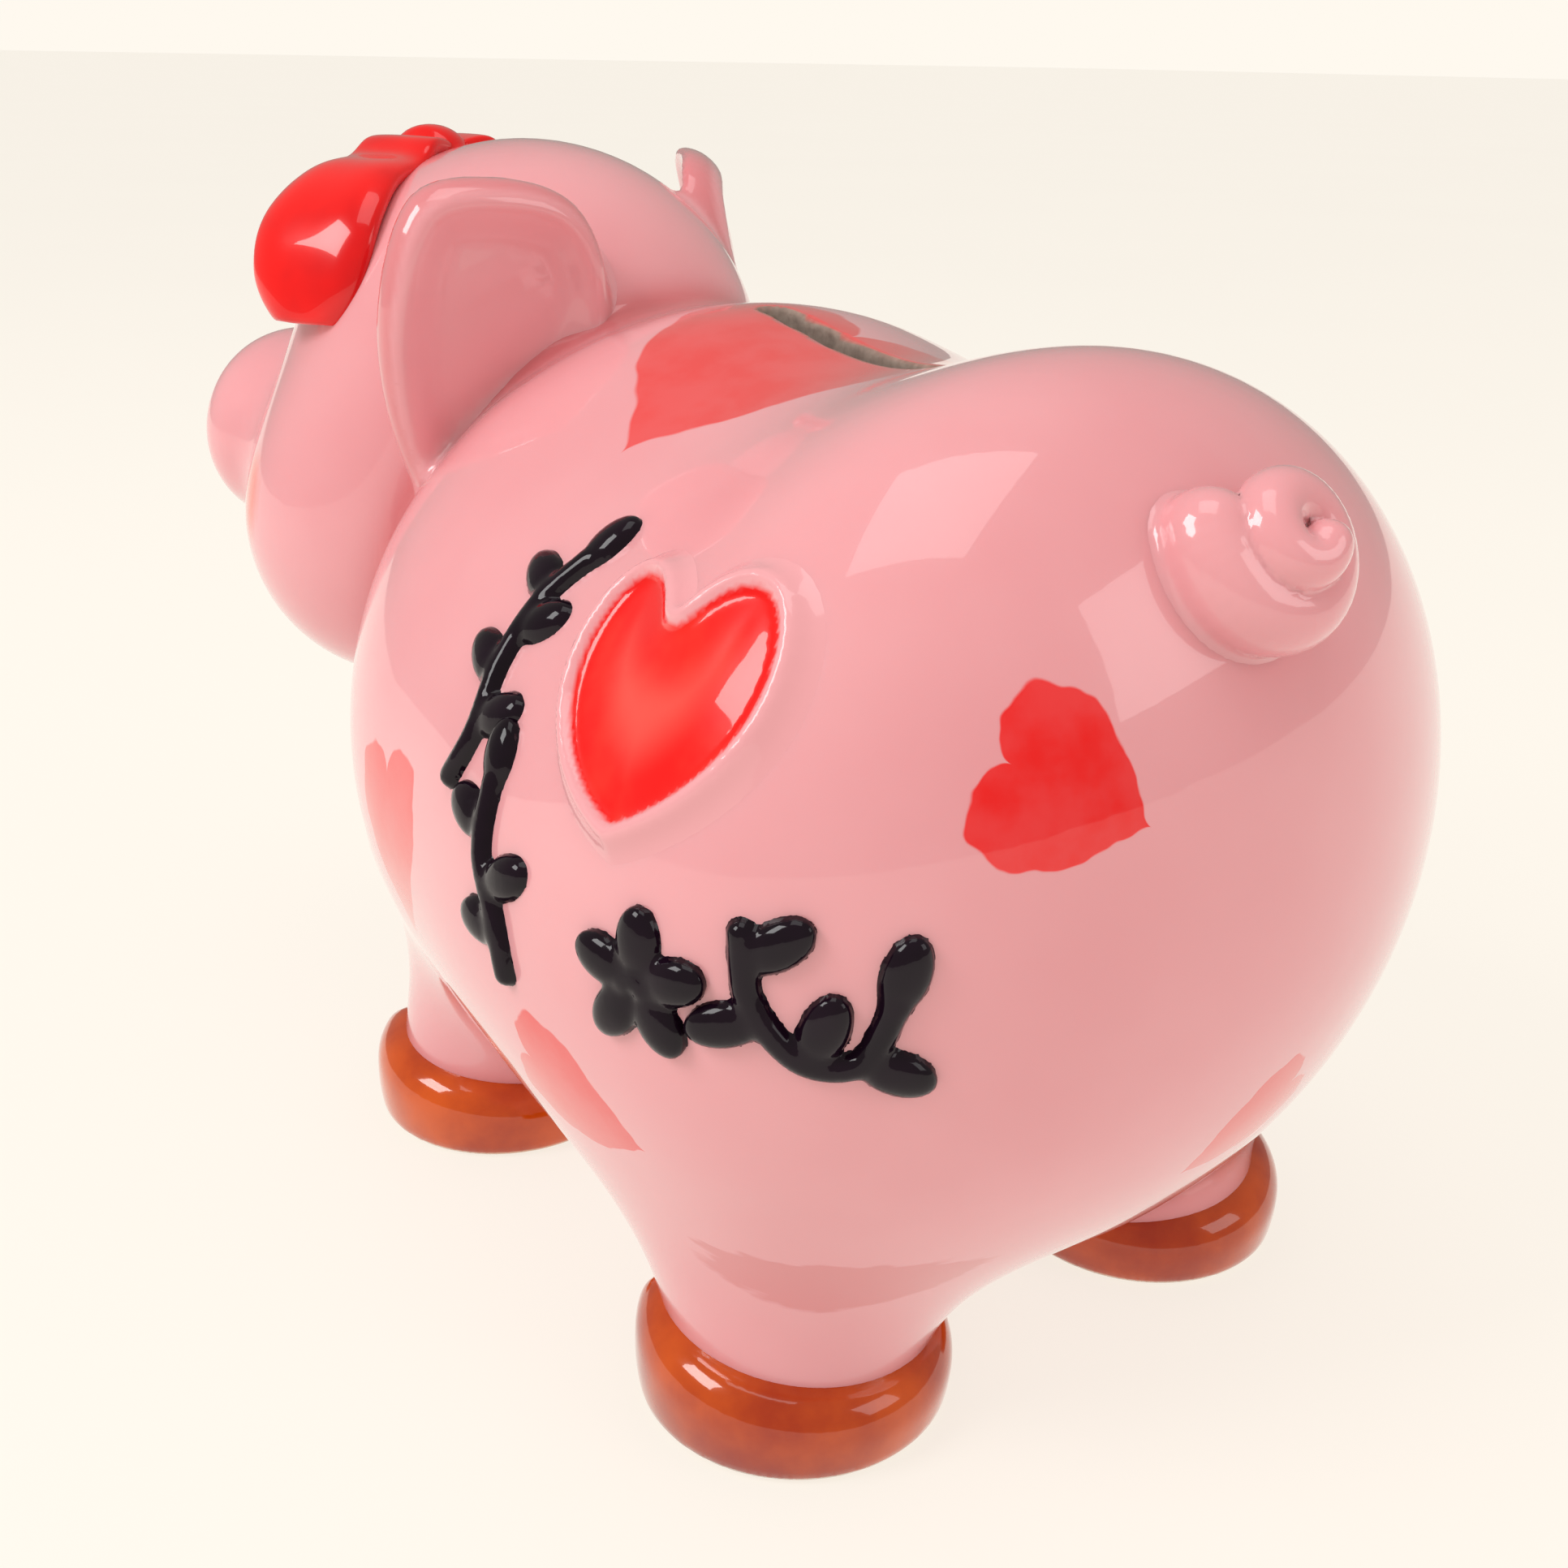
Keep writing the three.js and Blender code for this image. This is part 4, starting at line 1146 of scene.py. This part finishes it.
CAMERA_AT = (142.3, 171.4, 156.0)
CAMERA_AZIMUTH = 143.0
CAMERA_ELEVATION = 22.4
CAMERA_ROLL = 1.1
CAMERA_LENS = 40.5
CAMERA_SENSOR = 36
CAMERA_NEAR = 0.005


def set_camera():
    """The camera turned by azimuth, elevation and roll, as seen from where it stands."""
    lens = bpy.data.cameras.new("camera")
    lens.lens = CAMERA_LENS
    lens.sensor_width = CAMERA_SENSOR
    lens.clip_start = CAMERA_NEAR
    camera = bpy.data.objects.new("camera", lens)
    bpy.context.scene.collection.objects.link(camera)
    azimuth, rise = math.radians(CAMERA_AZIMUTH), math.radians(CAMERA_ELEVATION)
    level = math.cos(rise)
    back = Vector((math.sin(azimuth) * level, -math.cos(azimuth) * level, math.sin(rise)))
    right = Vector((0, 0, 1)).cross(back).normalized()
    up = back.cross(right)
    roll = math.radians(CAMERA_ROLL)
    across = right * math.cos(roll) + up * math.sin(roll)
    upward = up * math.cos(roll) - right * math.sin(roll)
    camera.matrix_world = Matrix((across, upward, back)).transposed().to_4x4()
    camera.location = Vector(CAMERA_AT + ORIGIN) * MM
    bpy.context.scene.camera = camera


lay_floor()
for lamp_name, place, side_length, watts in SOFTBOXES:
    softbox(lamp_name, place, side_length, watts)


def light_studio():
    """Even light all round, in front of a backdrop as pale as the floor."""
    world = bpy.data.worlds.new("studio")
    world.use_nodes = True
    nodes, links = world.node_tree.nodes, world.node_tree.links
    seen = nodes["Background"]
    seen.inputs["Color"].default_value = PAPER
    even = nodes.new("ShaderNodeBackground")
    even.inputs["Color"].default_value = PAPER
    even.inputs["Strength"].default_value = EVEN_LIGHT
    mirrored = nodes.new("ShaderNodeBackground")
    mirrored.inputs["Color"].default_value = PAPER
    mirrored.inputs["Strength"].default_value = MIRRORED_LIGHT
    ray = nodes.new("ShaderNodeLightPath")
    gloss = nodes.new("ShaderNodeMixShader")
    links.new(ray.outputs["Is Glossy Ray"], gloss.inputs[0])
    links.new(even.outputs[0], gloss.inputs[1])
    links.new(mirrored.outputs[0], gloss.inputs[2])
    choose = nodes.new("ShaderNodeMixShader")
    links.new(ray.outputs["Is Camera Ray"], choose.inputs[0])
    links.new(gloss.outputs[0], choose.inputs[1])
    links.new(seen.outputs[0], choose.inputs[2])
    links.new(choose.outputs[0], nodes["World Output"].inputs["Surface"])
    bpy.context.scene.world = world


light_studio()
bpy.context.scene.view_settings.view_transform = "Standard"
set_camera()
